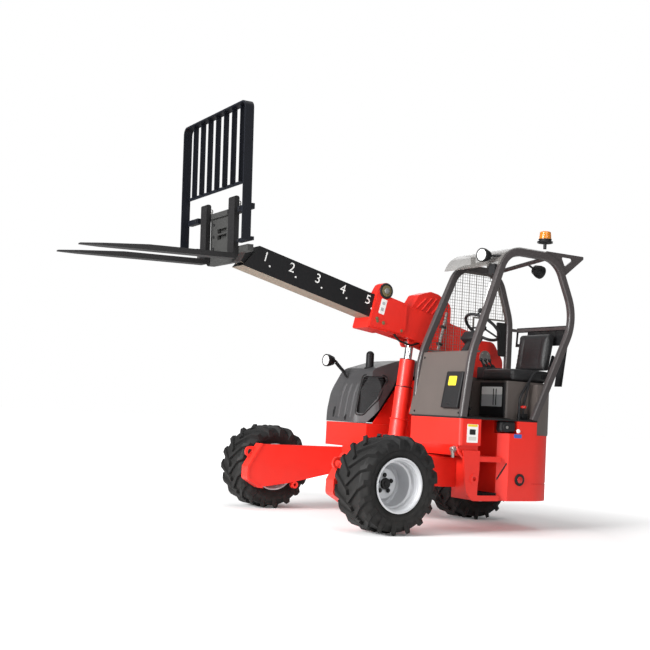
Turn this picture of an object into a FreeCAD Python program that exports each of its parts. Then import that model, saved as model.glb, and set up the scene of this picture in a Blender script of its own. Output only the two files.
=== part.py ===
"""Truck-mounted forklift: three-wheel chassis with straddle arms, open cab and telescopic boom.

Millimetres. The machine is drawn with X forward from the front axle, Y to the left and Z up from
the ground. export() then moves every piece so that the origin is under the middle of the machine.
"""
import FreeCAD, Part
import math
import os

V = FreeCAD.Vector

# ---- wheels ------------------------------------------------------------------------------------
WHEEL_R = 380.0            # over the lugs
TYRE_W = 390.0
LUG_H = 26.0
RIM_R = 212.0              # outside of the rim flange
RIM_HALF = 172.0           # rim flange to the wheel's middle
FRONT_Y = 983.0            # wheel middle from the centre line
REAR_X = -1633.0
LUGS_PER_SIDE = 17
CLEAR = 8.0                # usual gap between pieces that move

# ---- straddle arms and frame -------------------------------------------------------------------
ARM_IN = 665.0
ARM_OUT = 768.0
ARM_TOP = 587.0
LUG_BORE_R = 26.0          # lashing eyes
LASHING_EYE = (300.0, 514.0)
PLATE = 20.0
CROSS_X0, CROSS_X1 = -960.0, -640.0
CROSS_Z0, CROSS_Z1 = 345.0, 600.0
TOWER_IN = 166.0           # inner face of the tower's side plates
TOWER_T = 25.0
DECK_Z = 930.0             # cab floor level
DECK_T = 15.0
DECK_IN = 380.0             # where the deck's front edge ends towards the boom
HALF_W = 1050.0            # side of the body
WEIGHT_FRONT = -1105.0     # front of the rear corner blocks

# ---- boom --------------------------------------------------------------------------------------
BOOM_ANGLE = 13.5          # degrees above level, as it stands
PIVOT = V(-1600, 0, 1490)
AXIS_UP = 70.0             # boom centre line above the pivot
PIVOT_PIN_R = 35.0
PIN_FIT = 0.05             # radial clearance of a greased pin
INNER_W, INNER_H, INNER_T = 200.0, 206.0, 10.0
OUTER_W = 236.0
COVER_HALF = 84.0          # half width of the hose cover
WEAR_PAD = 0.3
MOUTH_S = 1262.0           # outer boom's mouth, along the boom from the pivot
TIP_S = 2590.0             # inner boom's tip
STROKE = 900.0
OVERLAP = 300.0            # inner boom left in the outer one at full reach
TILT_PIN = V(965, 0, 2155)
TILT_PIN_R = 25.0
FOOT_PIN_R = 24.0

# ---- lift cylinder -----------------------------------------------------------------------------
CYL_FOOT = V(-745, 0, 345)
CYL_EYE = V(-880, 0, 1577)
BARREL_R, STAGE_LOW_R, STAGE_TOP_R, ROD_R = 80.0, 75.0, 70.0, 36.0
BARREL_LEN = 537.0
STAGE_LEN = 462.0
STAGE_LOW_TOP, STAGE_TOP_TOP = 829.0, 1079.0   # tops of the two stages, from the foot

# ---- forks and backrest ------------------------------------------------------------------------
FORK_Y = 258.0
FORK_W, FORK_T = 110.0, 42.0
FORK_LEN = 1222.0
FORK_DROOP = 2.12          # degrees, tips below the heel; the carriage leans with them
HEEL_X, HEEL_Z = 1062.0, 2072.0
SHANK_H = 498.0
CARRIAGE_HALF = 466.0      # the lower bar's half length
REST_HALF = 578.0
REST_X0, REST_X1 = 1095.0, 1170.0
REST_Z0, REST_Z1 = 2190.0, 3278.0
REST_RAIL_Z = 2662.0
REST_BARS = 7
REST_ARM_IN = 368.0        # inner ends of the backrest's fixing bars

# ---- cab ---------------------------------------------------------------------------------------
CAB_IN, CAB_OUT = 345.0, 1040.0      # middles of the guard's two hoops
MESH_Z0 = 1486.0
MESH_SEAT_Z = 1822.0                 # lower edge of the mesh beside the seat
MESH_PITCH = 80.0
WIRE_HALF = 1.6
ROOF_DROP = 166.0                    # how far the clear sheet comes down in front
HOOP_X, HOOP_Y = 66.0, 46.0          # hoop section

# ---- hood --------------------------------------------------------------------------------------
HOOD_Y0, HOOD_Y1 = -1015.0, -345.0
HOOD_X0, HOOD_X1 = -1735.0, -648.0
HOOD_Z0 = 826.0
HOOD_TOP = 1455.0
HOOD_SKIN = 5.0
HINGE_R = 11.0             # hinge barrels inside the rear edge

REAR_END = REAR_X - WHEEL_R
FORK_TIP = HEEL_X + (FORK_LEN + FORK_T) * math.cos(math.radians(FORK_DROOP))
ORIGIN_X = (REAR_END + FORK_TIP) / 2


# ---- helpers -----------------------------------------------------------------------------------
def export(name, *solids):
    """Writes one piece, moved so that the origin is under the machine's middle."""
    shape = solids[0] if len(solids) == 1 else Part.makeCompound(list(solids))
    shape = shape.copy()
    shape.translate(V(-ORIGIN_X, 0, 0))
    shape.exportStep("parts/" + name + ".step")


def box(x0, x1, y0, y1, z0, z1):
    return Part.makeBox(abs(x1 - x0), abs(y1 - y0), abs(z1 - z0), V(min(x0, x1), min(y0, y1), min(z0, z1)))


def rod(a, b, r):
    """A round bar from a to b."""
    return Part.makeCylinder(r, (b - a).Length, a, b - a)


def cross_pin(x, z, y0, y1, r):
    """A round bar along Y."""
    return Part.makeCylinder(r, abs(y1 - y0), V(x, min(y0, y1), z), V(0, 1, 0))


def rounded(points):
    """Closed wire through corners (u, v, radius); each corner is rounded by a tangent arc."""
    n = len(points)
    starts, ends, mids = [], [], []
    for i in range(n):
        u, v, r = points[i]
        here = V(u, v, 0)
        back = (V(points[i - 1][0], points[i - 1][1], 0) - here).normalize()
        ahead = (V(points[(i + 1) % n][0], points[(i + 1) % n][1], 0) - here).normalize()
        if r == 0:
            starts.append(here)
            ends.append(here)
            mids.append(None)
            continue
        half = back.getAngle(ahead) / 2
        reach = r / math.tan(half)
        middle = (back + ahead).normalize()
        starts.append(here + back * reach)
        ends.append(here + ahead * reach)
        mids.append(here + middle * (r / math.sin(half) - r))
    edges = []
    for i in range(n):
        if mids[i] is not None:
            edges.append(Part.Arc(starts[i], mids[i], ends[i]).toShape())
        following = starts[(i + 1) % n]
        if (following - ends[i]).Length > 1e-6:
            edges.append(Part.LineSegment(ends[i], following).toShape())
    return Part.Wire(edges)


def side_prism(points, y0, y1):
    """A profile in X and Z, extruded from y0 to y1."""
    shape = Part.Face(rounded(points)).extrude(V(0, 0, y1 - y0))
    shape = turned(shape, V(0, 0, 0), V(1, 0, 0), 90)
    shape.translate(V(0, y1, 0))
    return shape


def front_prism(points, x0, x1):
    """A profile in Y and Z, extruded from x0 to x1."""
    shape = Part.Face(rounded(points)).extrude(V(0, 0, x1 - x0))
    shape = turned(shape, V(0, 0, 0), V(1, 0, 0), 90)
    shape = turned(shape, V(0, 0, 0), V(0, 0, 1), 90)
    shape.translate(V(x0, 0, 0))
    return shape


def plan_prism(points, z0, z1):
    """A profile in X and Y, extruded from z0 to z1."""
    shape = Part.Face(rounded(points)).extrude(V(0, 0, z1 - z0))
    shape.translate(V(0, 0, z0))
    return shape


def turned(shape, centre, axis, degrees):
    shape = shape.copy()
    shape.rotate(centre, axis, degrees)
    return shape


def moved(shape, x=0, y=0, z=0):
    shape = shape.copy()
    shape.translate(V(x, y, z))
    return shape


def mirrored(shape):
    return shape.mirror(V(0, 0, 0), V(0, 1, 0))


def union(first, *others):
    return first.multiFuse(list(others)).removeSplitter() if others else first


def largest(shape):
    """The biggest solid of a shape that a cut left in pieces."""
    return max(shape.Solids, key=lambda solid: solid.Volume)


def path_wire(points):
    """Open wire through points (x, y, z, radius), rounded by tangent arcs."""
    pieces = []
    last = V(*points[0][:3])
    for i in range(1, len(points) - 1):
        here = V(*points[i][:3])
        back = (V(*points[i - 1][:3]) - here).normalize()
        ahead = (V(*points[i + 1][:3]) - here).normalize()
        half = back.getAngle(ahead) / 2
        reach = points[i][3] / math.tan(half)
        start = here + back * reach
        end = here + ahead * reach
        middle = here + (back + ahead).normalize() * (points[i][3] / math.sin(half) - points[i][3])
        if (start - last).Length > 1e-6:
            pieces.append(Part.LineSegment(last, start).toShape())
        pieces.append(Part.Arc(start, middle, end).toShape())
        last = end
    pieces.append(Part.LineSegment(last, V(*points[-1][:3])).toShape())
    return Part.Wire(pieces)


def tube(points, r):
    """A round bar that follows points (x, y, z, radius)."""
    path = path_wire(points)
    start = V(*points[0][:3])
    ring = Part.Wire(Part.makeCircle(r, start, V(*points[1][:3]) - start))
    return path.makePipeShell([ring], True, False)


def boom_point(s, up):
    """Place on the boom's middle plane: s along it from the pivot, up from its centre line."""
    a = math.radians(BOOM_ANGLE)
    return V(PIVOT.x + s * math.cos(a) - (AXIS_UP + up) * math.sin(a), 0,
             PIVOT.z + s * math.sin(a) + (AXIS_UP + up) * math.cos(a))


def along_boom(points, y0, y1):
    """A profile (s, up, radius) in the boom's own plane, extruded across it."""
    shape = side_prism([(s, up + AXIS_UP, r) for s, up, r in points], y0, y1)
    shape = turned(shape, V(0, 0, 0), V(0, 1, 0), -BOOM_ANGLE)
    shape.translate(PIVOT)
    return shape


# ---- wheels ------------------------------------------------------------------------------------
def tyre():
    """Low, wide traction tyre: a turned carcass with two rows of chevron lugs fused to it."""
    base_r = WHEEL_R - LUG_H
    half = TYRE_W / 2
    profile = [(RIM_R - 6, -RIM_HALF + 14, 0), (RIM_R + 34, -RIM_HALF - 6, 14), (base_r - 52, -half + 2, 30),
               (base_r, -half + 44, 22), (base_r, half - 44, 22), (base_r - 52, half - 2, 30),
               (RIM_R + 34, RIM_HALF + 6, 14), (RIM_R - 6, RIM_HALF - 14, 0), (RIM_R - 22, 0, 0)]
    face = Part.Face(rounded(profile))
    face = turned(face, V(0, 0, 0), V(1, 0, 0), 90)
    # the profile now lies in X and Z with the wheel's axis along Z; turn that axis to Y afterwards
    carcass = face.revolve(V(0, 0, 0), V(0, 0, 1), 360)
    lugs = []
    pitch = 360.0 / LUGS_PER_SIDE
    for side in (-1, 1):
        for i in range(LUGS_PER_SIDE):
            lug = chevron_lug()
            if side < 0:
                lug = lug.mirror(V(0, 0, 0), V(0, 0, 1))
            lugs.append(turned(lug, V(0, 0, 0), V(0, 0, 1), pitch * (i + (0.5 if side > 0 else 0))))
    body = carcass.multiFuse(lugs)
    return turned(body, V(0, 0, 0), V(1, 0, 0), 90)


def chevron_lug():
    """One lug: from the tread's middle outward to the shoulder, swept back as it goes out."""
    base_r = WHEEL_R - LUG_H
    half = TYRE_W / 2
    def ring_point(r, angle, z):
        return V(r * math.cos(math.radians(angle)), r * math.sin(math.radians(angle)), z)
    sections = []
    for z, angle, width, top in ((-8, 0, 6.4, WHEEL_R), (half - 40, 19, 6.8, WHEEL_R),
                                 (half - 2, 25, 7.2, WHEEL_R - 34)):
        low = base_r - 14 if z < half - 20 else base_r - 78
        corners = [ring_point(low, angle - width / 2 - 0.6, z), ring_point(top, angle - width / 2 + 0.6, z),
                   ring_point(top, angle + width / 2 - 0.6, z), ring_point(low, angle + width / 2 + 0.6, z)]
        sections.append(Part.makePolygon(corners + [corners[0]]))
    return Part.makeLoft(sections, True, True)


def rim():
    """Dished steel rim with its hub; the dish is set in from the outer (+Y) flange."""
    half = RIM_HALF
    barrel = [(RIM_R - 24, -half + 12, 0), (RIM_R, -half, 0), (RIM_R, -half - 8, 0), (RIM_R - 12, -half - 8, 0),
              (RIM_R - 40, -half + 34, 8), (RIM_R - 48, half - 100, 8), (RIM_R - 34, half - 88, 8),
              (RIM_R - 28, half - 30, 10), (RIM_R - 12, half + 8, 0),
              (RIM_R, half + 8, 0), (RIM_R, half, 0), (RIM_R - 24, half - 12, 0), (RIM_R - 30, 0, 0)]
    dish = [(0, -58, 0), (112, -58, 6), (140, -84, 10), (RIM_R - 42, -90, 0), (RIM_R - 42, -78, 0),
            (146, -72, 10), (118, -42, 6), (52, -42, 0), (44, -16, 6), (0, -16, 0)]
    solids = []
    for profile in (barrel, dish):
        face = turned(Part.Face(rounded(profile)), V(0, 0, 0), V(1, 0, 0), 90)
        solids.append(face.revolve(V(0, 0, 0), V(0, 0, 1), 360))
    wheel = turned(union(*solids), V(0, 0, 0), V(1, 0, 0), 90)
    # turning the axis from Z to Y sends the outer side to -Y; put it back on +Y
    wheel = turned(wheel, V(0, 0, 0), V(0, 0, 1), 180)
    bolts = []
    for i in range(5):
        a = math.radians(72 * i + 18)
        bolts.append(cross_pin(75 * math.cos(a), 75 * math.sin(a), -46, -28, 13))
    return union(wheel, *bolts)


# ---- frame -------------------------------------------------------------------------------------
def tower_plate():
    return side_prism([(-700, 430, 0), (-700, 590, 30), (-1010, 900, 120), (-1330, 1520, 160),
                       (-1520, 1640, 90), (-1700, 1640, 90), (-1822, 1470, 90), (-1822, 905, 0),
                       (-1195, 905, 60), (-1195, 430, 0)], TOWER_IN, TOWER_IN + TOWER_T)


def main_frame():
    left = tower_plate()
    beam = box(CROSS_X0, CROSS_X1, -ARM_IN, ARM_IN, CROSS_Z0, CROSS_Z1)
    beam = beam.cut(box(CROSS_X0, CROSS_X1, -TOWER_IN, TOWER_IN, CROSS_Z0, CROSS_Z1))
    head = box(-1822, -1175, -TOWER_IN, TOWER_IN, 905, 935)
    rear_web = box(-1822, -1802, -TOWER_IN, TOWER_IN, 935, 1240)
    front_web = box(-1195, -1175, -TOWER_IN, TOWER_IN, 430, 905)
    ring = Part.makeCylinder(130, 25, V(REAR_X, 0, 880))
    outriggers = []
    for side in (-1, 1):
        y0, y1 = sorted((side * (TOWER_IN + TOWER_T), side * 470))
        outriggers.append(box(-1180, -960, y0, y1, 430, 600))
        outriggers.append(box(-1480, -1300, y0, y1, 870, 915))
    foot_lugs = []
    for side in (-1, 1):
        y0, y1 = sorted((side * 48, side * 78))
        foot_lugs.append(side_prism([(-840, 282, 0), (-680, 282, 0), (-690, 380, 35), (-800, 380, 35)], y0, y1))
        y0, y1 = sorted((side * TOWER_IN, side * (TOWER_IN + TOWER_T)))
        foot_lugs.append(box(CROSS_X0, -680, y0, y1, 270, 440))
    foot_pin = cross_pin(CYL_FOOT.x, CYL_FOOT.z, -82, 82, FOOT_PIN_R)
    foot_floor = box(CROSS_X0, -680, -TOWER_IN, TOWER_IN, 270, 284)
    body = union(beam, left, mirrored(left), head, rear_web, front_web, ring, foot_pin, foot_floor,
                 *outriggers, *foot_lugs)
    return body.cut(cross_pin(PIVOT.x, PIVOT.z, -400, 400, PIVOT_PIN_R))


def pivot_pin():
    """Boom pivot pin with a round keeper plate at each end."""
    reach = TOWER_IN + TOWER_T
    pin = cross_pin(PIVOT.x, PIVOT.z, -reach, reach, PIVOT_PIN_R)
    caps = [cross_pin(PIVOT.x, PIVOT.z, side * reach, side * (reach + 12), 62) for side in (-1, 1)]
    return union(pin, *caps)


def straddle_arm():
    """Left arm: box beam, deeper at the wheel, with a sloped nose plate, lashing eyes and axle stub."""
    beam = side_prism([(-700, ARM_TOP, 0), (205, ARM_TOP, 16), (330, 380, 30), (330, 285, 50), (196, 206, 60),
                       (-90, 246, 120), (-571, 345, 120), (-700, 352, 0)], ARM_IN, ARM_OUT)
    nose = side_prism([(205, ARM_TOP + 6, 0), (222, ARM_TOP + 6, 0), (350, 388, 26), (350, 276, 40), (212, 196, 20),
                       (180, 196, 0), (190, 208, 0), (328, 290, 30), (328, 380, 20)], ARM_IN - 6, ARM_OUT + 4)
    eye_x, eye_z = LASHING_EYE
    eye = side_prism([(eye_x - 50, eye_z - 44, 0), (eye_x, eye_z - 58, 30), (eye_x + 52, eye_z - 14, 40),
                      (eye_x + 36, eye_z + 46, 38), (eye_x - 24, eye_z + 50, 38), (eye_x - 74, eye_z + 34, 0)],
                     ARM_OUT - 44, ARM_OUT - 22)
    bore = cross_pin(eye_x, eye_z, ARM_OUT - 60, ARM_OUT, LUG_BORE_R)
    low_eye = cross_pin(-150, 228, ARM_IN - 2, ARM_IN + 46, 32).cut(cross_pin(-150, 228, ARM_IN - 9, ARM_IN + 60, 15))
    stub = cross_pin(0, WHEEL_R, ARM_OUT - 1, FRONT_Y - 58 - CLEAR, 58)
    flange = cross_pin(0, WHEEL_R, ARM_OUT - 1, FRONT_Y - TYRE_W / 2 + 40, 105)
    rear_joint = box(-850, -690, ARM_IN, ARM_OUT, CROSS_Z0, ARM_TOP)
    return union(beam, nose, eye, low_eye, stub, flange, rear_joint).cut(bore)


def step_frame():
    """Left access frame: cab base box, side plate with its tie-down hole, two steps in the recess."""
    front_box = plan_prism([(-655, DECK_IN, 0), (-655, HALF_W, 26), (-868, HALF_W, 0), (-868, 300, 0), (-760, 300, 0)],
                           700, DECK_Z - DECK_T)
    front_keel = side_prism([(-655, 700, 0), (-868, 700, 0), (-868, 612, 0), (-716, 612, 0)], DECK_IN, HALF_W - 30)
    plate = side_prism([(-690, 660, 0), (-868, 660, 0), (-868, 500, 0), (-850, 300, 16), (-1080, 300, 0),
                        (-1080, 256, 0), (-800, 256, 70), (-735, 330, 60), (-715, 500, 60)], HALF_W - PLATE, HALF_W)
    boss = cross_pin(-816, 433, HALF_W - PLATE - 10, HALF_W + 6, 42)
    inner_wall = box(-868, -1100, 720, 735, 270, DECK_Z - DECK_T)
    front_wall = box(-853, -868, 720, HALF_W - PLATE + 5, 280, 655)
    ledge = box(-868, -1100, 735, HALF_W - 4, 572, 614)
    floor = box(-853, -1100, 720, HALF_W - PLATE + 5, 257, 290)
    frame = union(front_box, front_keel, plate, boss, inner_wall, front_wall, ledge, floor)
    return frame.cut(cross_pin(-816, 433, HALF_W - 60, HALF_W + 40, 18))


def counterweight(top):
    """Cast rear corner block for the left side, chamfered in front and round behind."""
    plan = [(WEIGHT_FRONT, 470, 0), (WEIGHT_FRONT, HALF_W - 70, 0), (WEIGHT_FRONT - 70, HALF_W, 0),
            (-1790, HALF_W, 345), (-1790, 470, 60)]
    groove = plan_prism([(WEIGHT_FRONT - 330, 400, 0), (WEIGHT_FRONT - 330, HALF_W + 50, 0), (-1900, HALF_W + 50, 0),
                         (-1900, 400, 0)], 395, 405)
    core = plan_prism([(-1300, 300, 0), (-1300, HALF_W - 6, 0), (-1784, HALF_W - 6, 339), (-1784, 300, 60)], 390, 410)
    return plan_prism(plan, 255, top).cut(groove.cut(core))


def counterweight_left():
    # the deck steps down behind for the corner cover, and a notch in front takes the filler
    step = box(-1480, -1900, 400, 1100, 805, 960)
    notch = box(-1040, -1270, 925, 1100, 812, 960)
    return counterweight(915).cut(union(step, notch))


def body_right():
    """Right base: the red tray under the hood and the rear corner block."""
    tray = plan_prism([(-655, 300, 0), (-655, HALF_W - 15, 60), (-1110, HALF_W - 15, 0), (-1110, 300, 0)], 600, 820)
    block = counterweight(820)
    shelf = box(-1480, -1300, 470, 600, 819, 905)
    wall = side_prism([(-778, 815, 0), (-1700, 815, 0), (-1700, 1250, 0), (-1087, 1250, 0)], 392, 402)
    beam_notch = box(-1290, -1490, 380, 410, 860, 925)
    return mirrored(union(tray, block, shelf, wall.cut(beam_notch)))


def engine():
    return box(-1560, -930, -880, -560, 830, 1240)


# ---- cab ---------------------------------------------------------------------------------------
OUTER_PATH = [(-677, 925, 0), (-746, 1450, 900), (-1072, 2338, 210), (-1640, 2338, 250), (-1880, 1830, 420),
              (-1440, 925, 0)]
INNER_PATH = [(-718, 925, 0), (-757, 1445, 900), (-1125, 2262, 210), (-1590, 2262, 230), (-1745, 1830, 400),
              (-1745, 925, 0)]


def hoop(route, y):
    """One bent hoop of the guard, rectangular section with rounded edges."""
    path = path_wire([(x, y, z, r) for x, z, r in route])
    ring = rounded([(-HOOP_X / 2, -HOOP_Y / 2, 12), (HOOP_X / 2, -HOOP_Y / 2, 12), (HOOP_X / 2, HOOP_Y / 2, 12),
                    (-HOOP_X / 2, HOOP_Y / 2, 12)])
    lean = math.degrees(math.atan2(route[1][0] - route[0][0], route[1][1] - route[0][1]))
    ring.rotate(V(0, 0, 0), V(0, 1, 0), lean)
    ring.translate(V(route[0][0], y, route[0][1]))
    return path.makePipeShell([ring], True, False)


def guard_frame():
    """Two hoops, the bars across them, the sheet's stand-offs and the tail bracket."""
    outer_top, inner_top = OUTER_PATH[2][1], INNER_PATH[2][1]
    bars = [rod(V(x, CAB_IN, inner_top), V(x, CAB_OUT, outer_top), 19) for x in (-1210, -1560)]
    bars.append(box(-1840, -1820, CAB_IN + 23, CAB_OUT, 1738, 1764))
    bars.append(box(-1840, -1740, CAB_IN, CAB_IN + 24, 1738, 1764))
    posts = [box(x - 16, x + 16, CAB_IN - 14, CAB_IN + 14, inner_top + 20, outer_top + HOOP_X / 2) for x in (-1290, -1480)]
    y = CAB_OUT
    tail = side_prism([(-1520, 2366, 0), (-1520, 2340, 0), (-1745, 2200, 0), (-1955, 2366, 12), (-1955, 2390, 8),
                       (-1520, 2386, 0)], y - 8, y + 8)
    hole = side_prism([(-1690, 2358, 12), (-1735, 2276, 14), (-1850, 2358, 14)], y - 20, y + 20)
    below = box(-600, -1800, 200, 1200, 800, DECK_Z)
    return union(hoop(INNER_PATH, CAB_IN), hoop(OUTER_PATH, CAB_OUT), tail.cut(hole), *bars, *posts).cut(below)


def guard_mesh():
    """Wire mesh in a light frame on the boom side of the cab; its rear part ends above the seat."""
    def region(edge):
        return [(-790 - edge, MESH_Z0 + edge, 0), (-1128 - edge, 2232 - edge, 80), (-1560 + edge, 2232 - edge, 120),
                (-1722 + edge, 1850, 60), (-1722 + edge, MESH_SEAT_Z + edge, 0),
                (-1330 + edge, MESH_SEAT_Z + edge, 0), (-1330 + edge, MESH_Z0 + edge, 0)]
    outer = side_prism(region(0), CAB_IN - 5, CAB_IN + 5)
    border = outer.cut(side_prism(region(14), CAB_IN - 6, CAB_IN + 6))
    wires = []
    for i in range(12):
        x = -860 - MESH_PITCH * i
        wires.append(box(x - WIRE_HALF, x + WIRE_HALF, CAB_IN - 3, CAB_IN + 3, MESH_Z0, 2240))
    for i in range(1, 10):
        z = MESH_Z0 + MESH_PITCH * i
        wires.append(box(-1730, -780, CAB_IN - 3, CAB_IN + 3, z - WIRE_HALF, z + WIRE_HALF))
    return union(border, union(*wires).common(outer))


def roof_sheet():
    """Clear sheet bent over the guard's front top corner, resting on the hoops."""
    rise = HOOP_X / 2 + 1
    thick = 5.0
    leg = math.atan2(OUTER_PATH[1][0] - OUTER_PATH[2][0], OUTER_PATH[2][1] - OUTER_PATH[1][1])
    corner_x, corner_z, corner_r = OUTER_PATH[2]
    points = []
    for offset in (rise, rise + thick):
        # where the offset leg meets the offset top
        shift = offset * (1 - math.sin(leg)) / math.cos(leg)
        corner = (corner_x + shift, corner_z + offset, corner_r + offset)
        foot = (corner[0] + ROOF_DROP * math.tan(leg), corner[1] - ROOF_DROP, 0)
        points.append([foot, corner, (-1510, corner_z + offset, 0)])
    outline = points[1] + points[0][::-1]
    return side_prism(outline, CAB_IN - 20, CAB_OUT + 20)


PANEL_FOOT = V(-668, 0, DECK_Z)
PANEL_HEAD = V(-768, 0, 1470)


def cab_front():
    """Front panel of the cab, leaning back between the hoops' legs."""
    foot, head = PANEL_FOOT, PANEL_HEAD
    return side_prism([(foot.x, foot.z, 0), (head.x, head.z, 14), (-850, 1482, 0), (-850, 1466, 0),
                       (head.x - 12, head.z - 14, 6), (foot.x - 14, foot.z, 0)], CAB_IN - 15, CAB_OUT - HOOP_Y / 2)


def cab_floor():
    return plan_prism([(-656, DECK_IN, 0), (-656, 1040, 20), (-1490, 1040, 0), (-1490, 300, 0), (-760, 300, 0)],
                      DECK_Z - DECK_T, DECK_Z)


def seat_base():
    return plan_prism([(-1240, 430, 20), (-1240, 918, 20), (-1740, 918, 60), (-1740, 430, 20)], DECK_Z, 1255)


def control_panel():
    return box(-1222, -1239.7, 598, 908, 950, 1238)


def seat_cushion():
    block = box(-1735, -1300, 515, 915, 1262, 1362)
    return block.makeFillet(30, block.Edges)


def seat_slides():
    """Low plinth that carries the seat on its base."""
    return box(-1700, -1340, 560, 870, 1255, 1261.8)


def seat_back():
    return side_prism([(-1676, 1372, 20), (-1742, 1372, 20), (-1806, 1692, 30), (-1724, 1698, 40)], 525, 885)


def seat_hinge():
    """Two flat irons that carry the seat back on the cushion's pan."""
    return [side_prism([(-1640, 1290, 10), (-1740, 1290, 20), (-1772, 1500, 10), (-1742, 1510, 10), (-1700, 1360, 20),
                        (-1640, 1330, 10)], y - 4, y + 4) for y in (508, 922)]


def rear_panel():
    """Grey band behind the seat, with an opening at its inner end and a leg beside the seat."""
    band = side_prism([(-1829, 1600, 0), (-1841, 1600, 0), (-1853, 1775, 0), (-1841, 1775, 0)], 352, 1010)
    leg = side_prism([(-1776, 1236, 0), (-1788, 1236, 0), (-1841, 1605, 0), (-1829, 1605, 0)], 930, 1010)
    opening = box(-1800, -1900, 366, 500, 1628, 1732)
    return union(band, leg).cut(opening)


def rear_cover():
    """Grey cover over the rear corner block, under the hoop's foot."""
    cover = plan_prism([(-1482, 480, 0), (-1482, HALF_W - 14, 0), (-1782, HALF_W - 14, 290), (-1782, 480, 40)], 805.2, 1235)
    inside = plan_prism([(-1488, 420, 0), (-1488, HALF_W - 22, 0), (-1774, HALF_W - 22, 280), (-1774, 420, 0)], 800, 1229)
    return cover.cut(inside)


WHEEL_HUB = V(-1131, 700, 1708)
WHEEL_LEAN = 37.6


def steering_column():
    """Column from the floor behind the front panel, bent back to the steering wheel."""
    axis = V(math.sin(math.radians(WHEEL_LEAN)), 0, -math.cos(math.radians(WHEEL_LEAN)))
    knee = WHEEL_HUB + axis * 350
    foot = V(knee.x, knee.y, DECK_Z)
    shroud = rod(WHEEL_HUB + axis * 90, knee, 40)
    return union(rod(foot, knee, 44), rod(WHEEL_HUB + axis * 22.2, knee, 24), shroud, Part.makeSphere(44, knee))


def steering_wheel():
    """Rim, three spokes, hub and the turning knob on the rim."""
    ring = Part.makeTorus(165, 13)
    hub = Part.makeCylinder(34, 36, V(0, 0, -22))
    spokes = []
    for i in range(3):
        a = math.radians(120 * i + 30)
        spokes.append(rod(V(20 * math.cos(a), 20 * math.sin(a), 0), V(163 * math.cos(a), 163 * math.sin(a), 0), 8))
    knob = union(Part.makeCylinder(7, 40, V(150, 70, 0)), Part.makeSphere(22, V(150, 70, 52)))
    wheel = union(ring, hub, knob, *spokes)
    wheel.rotate(V(0, 0, 0), V(0, 1, 0), -WHEEL_LEAN)
    wheel.translate(WHEEL_HUB)
    return wheel


def levers():
    """Arm console at the seat's right hand with its three levers."""
    console = box(-1370, -1635, 362, 492, 1280, 1385)
    console = console.makeFillet(12, console.Edges)
    foot = box(-1400, -1600, 432, 490, 1255, 1281)
    made = []
    for i in range(3):
        x = -1410 - 50 * i
        stick = rod(V(x, 425, 1375), V(x + 40, 420, 1442), 8)
        made.append(union(stick, Part.makeSphere(16, V(x + 42, 420, 1450))))
    return union(console, foot, *made)


def side_panel():
    """Low sheet between the inner hoop's legs."""
    return side_prism([(-730, DECK_Z, 0), (-756, 1290, 0), (-1735, 1290, 0), (-1735, DECK_Z, 0)], 340, 346)


def side_pad():
    """Black pad below the mesh, in front of the inner hoop's rear leg."""
    return side_prism([(-1600, 1810, 12), (-1630, 1500, 30), (-1706, 1500, 12), (-1706, 1810, 12)], 338, 352)


def grab_rail():
    return tube([(-1330, 985, DECK_Z, 0), (-1330, 985, 1120, 150), (-1490, 985, 1342, 60), (-1644, 985, 1342, 22),
                 (-1644, 1016.5, 1342, 0)], 11)


def document_box():
    lean = math.degrees(math.atan2(PANEL_HEAD.x - PANEL_FOOT.x, PANEL_HEAD.z - PANEL_FOOT.z))
    holder = box(0.2, 38, 786, 1003, 62, 368)
    holder = holder.makeFillet(8, holder.Edges)
    holder.rotate(V(0, 0, 0), V(0, 1, 0), lean)
    holder.translate(PANEL_FOOT)
    return holder


def beacon_base():
    """Stem, flat flange and socket of the beacon."""
    stem = Part.makeCylinder(14, 52, V(-1500, CAB_OUT, 2402))
    flange = Part.makeCone(50, 68, 14, V(-1500, CAB_OUT, 2452))
    socket = Part.makeCylinder(50, 16, V(-1500, CAB_OUT, 2466))
    return union(stem, flange, socket)


def beacon():
    lens = Part.makeCone(53, 46, 70, V(-1500, CAB_OUT, 2482.2))
    return lens.makeFillet(10, [edge for edge in lens.Edges if edge.BoundBox.ZMin > 2550])


def lamp(centre, direction):
    """Round work lamp: bowl and bezel."""
    direction = V(*direction).normalize()
    bowl = Part.makeCone(26, 54, 66, centre - direction * 40, direction)
    ring = Part.makeCylinder(58, 24, centre + direction * 26, direction)
    return union(bowl, ring)


def work_lamps(guard):
    """A lamp and its switch box in front of the outer hoop, and a lamp under the rear cross bar."""
    front = union(lamp(V(-925, 945, 2285), (1, 0.15, -0.05)), rod(V(-950, 945, 2285), V(-1052, 1030, 2290), 9))
    switch = box(-1045, -965, 942, 1020, 2128, 2214)
    rear = union(lamp(V(-1690, 750, 2262), (-1, 0, -0.25)), rod(V(-1675, 750, 2262), V(-1570, 750, 2310), 9))
    return [largest(front.cut(guard)), largest(switch.cut(guard)), largest(rear.cut(guard))]


def hood_lamp(hood):
    """Work lamp on its bracket at the front of the hood."""
    bracket = tube([(-528, -800, 1400, 0), (-600, -800, 1400, 40), (-740, -800, 1250, 0)], 11)
    return largest(union(lamp(V(-540, -800, 1397), (1, 0.1, 0)), bracket).cut(hood))


def tank_cap():
    """Filler box with its round cap."""
    body = box(-1090, -1258, 966, 1036, 820, 912)
    body = body.makeFillet(22, body.Edges)
    return union(body, cross_pin(-1148, 862, 1030, 1048, 36))


def tail_lamps():
    made = []
    for side in (-1, 1):
        y0, y1 = side * HALF_W, side * (HALF_W + 10)
        made.append(cross_pin(-1300, 432, y0, y1, 50))
    return made


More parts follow.
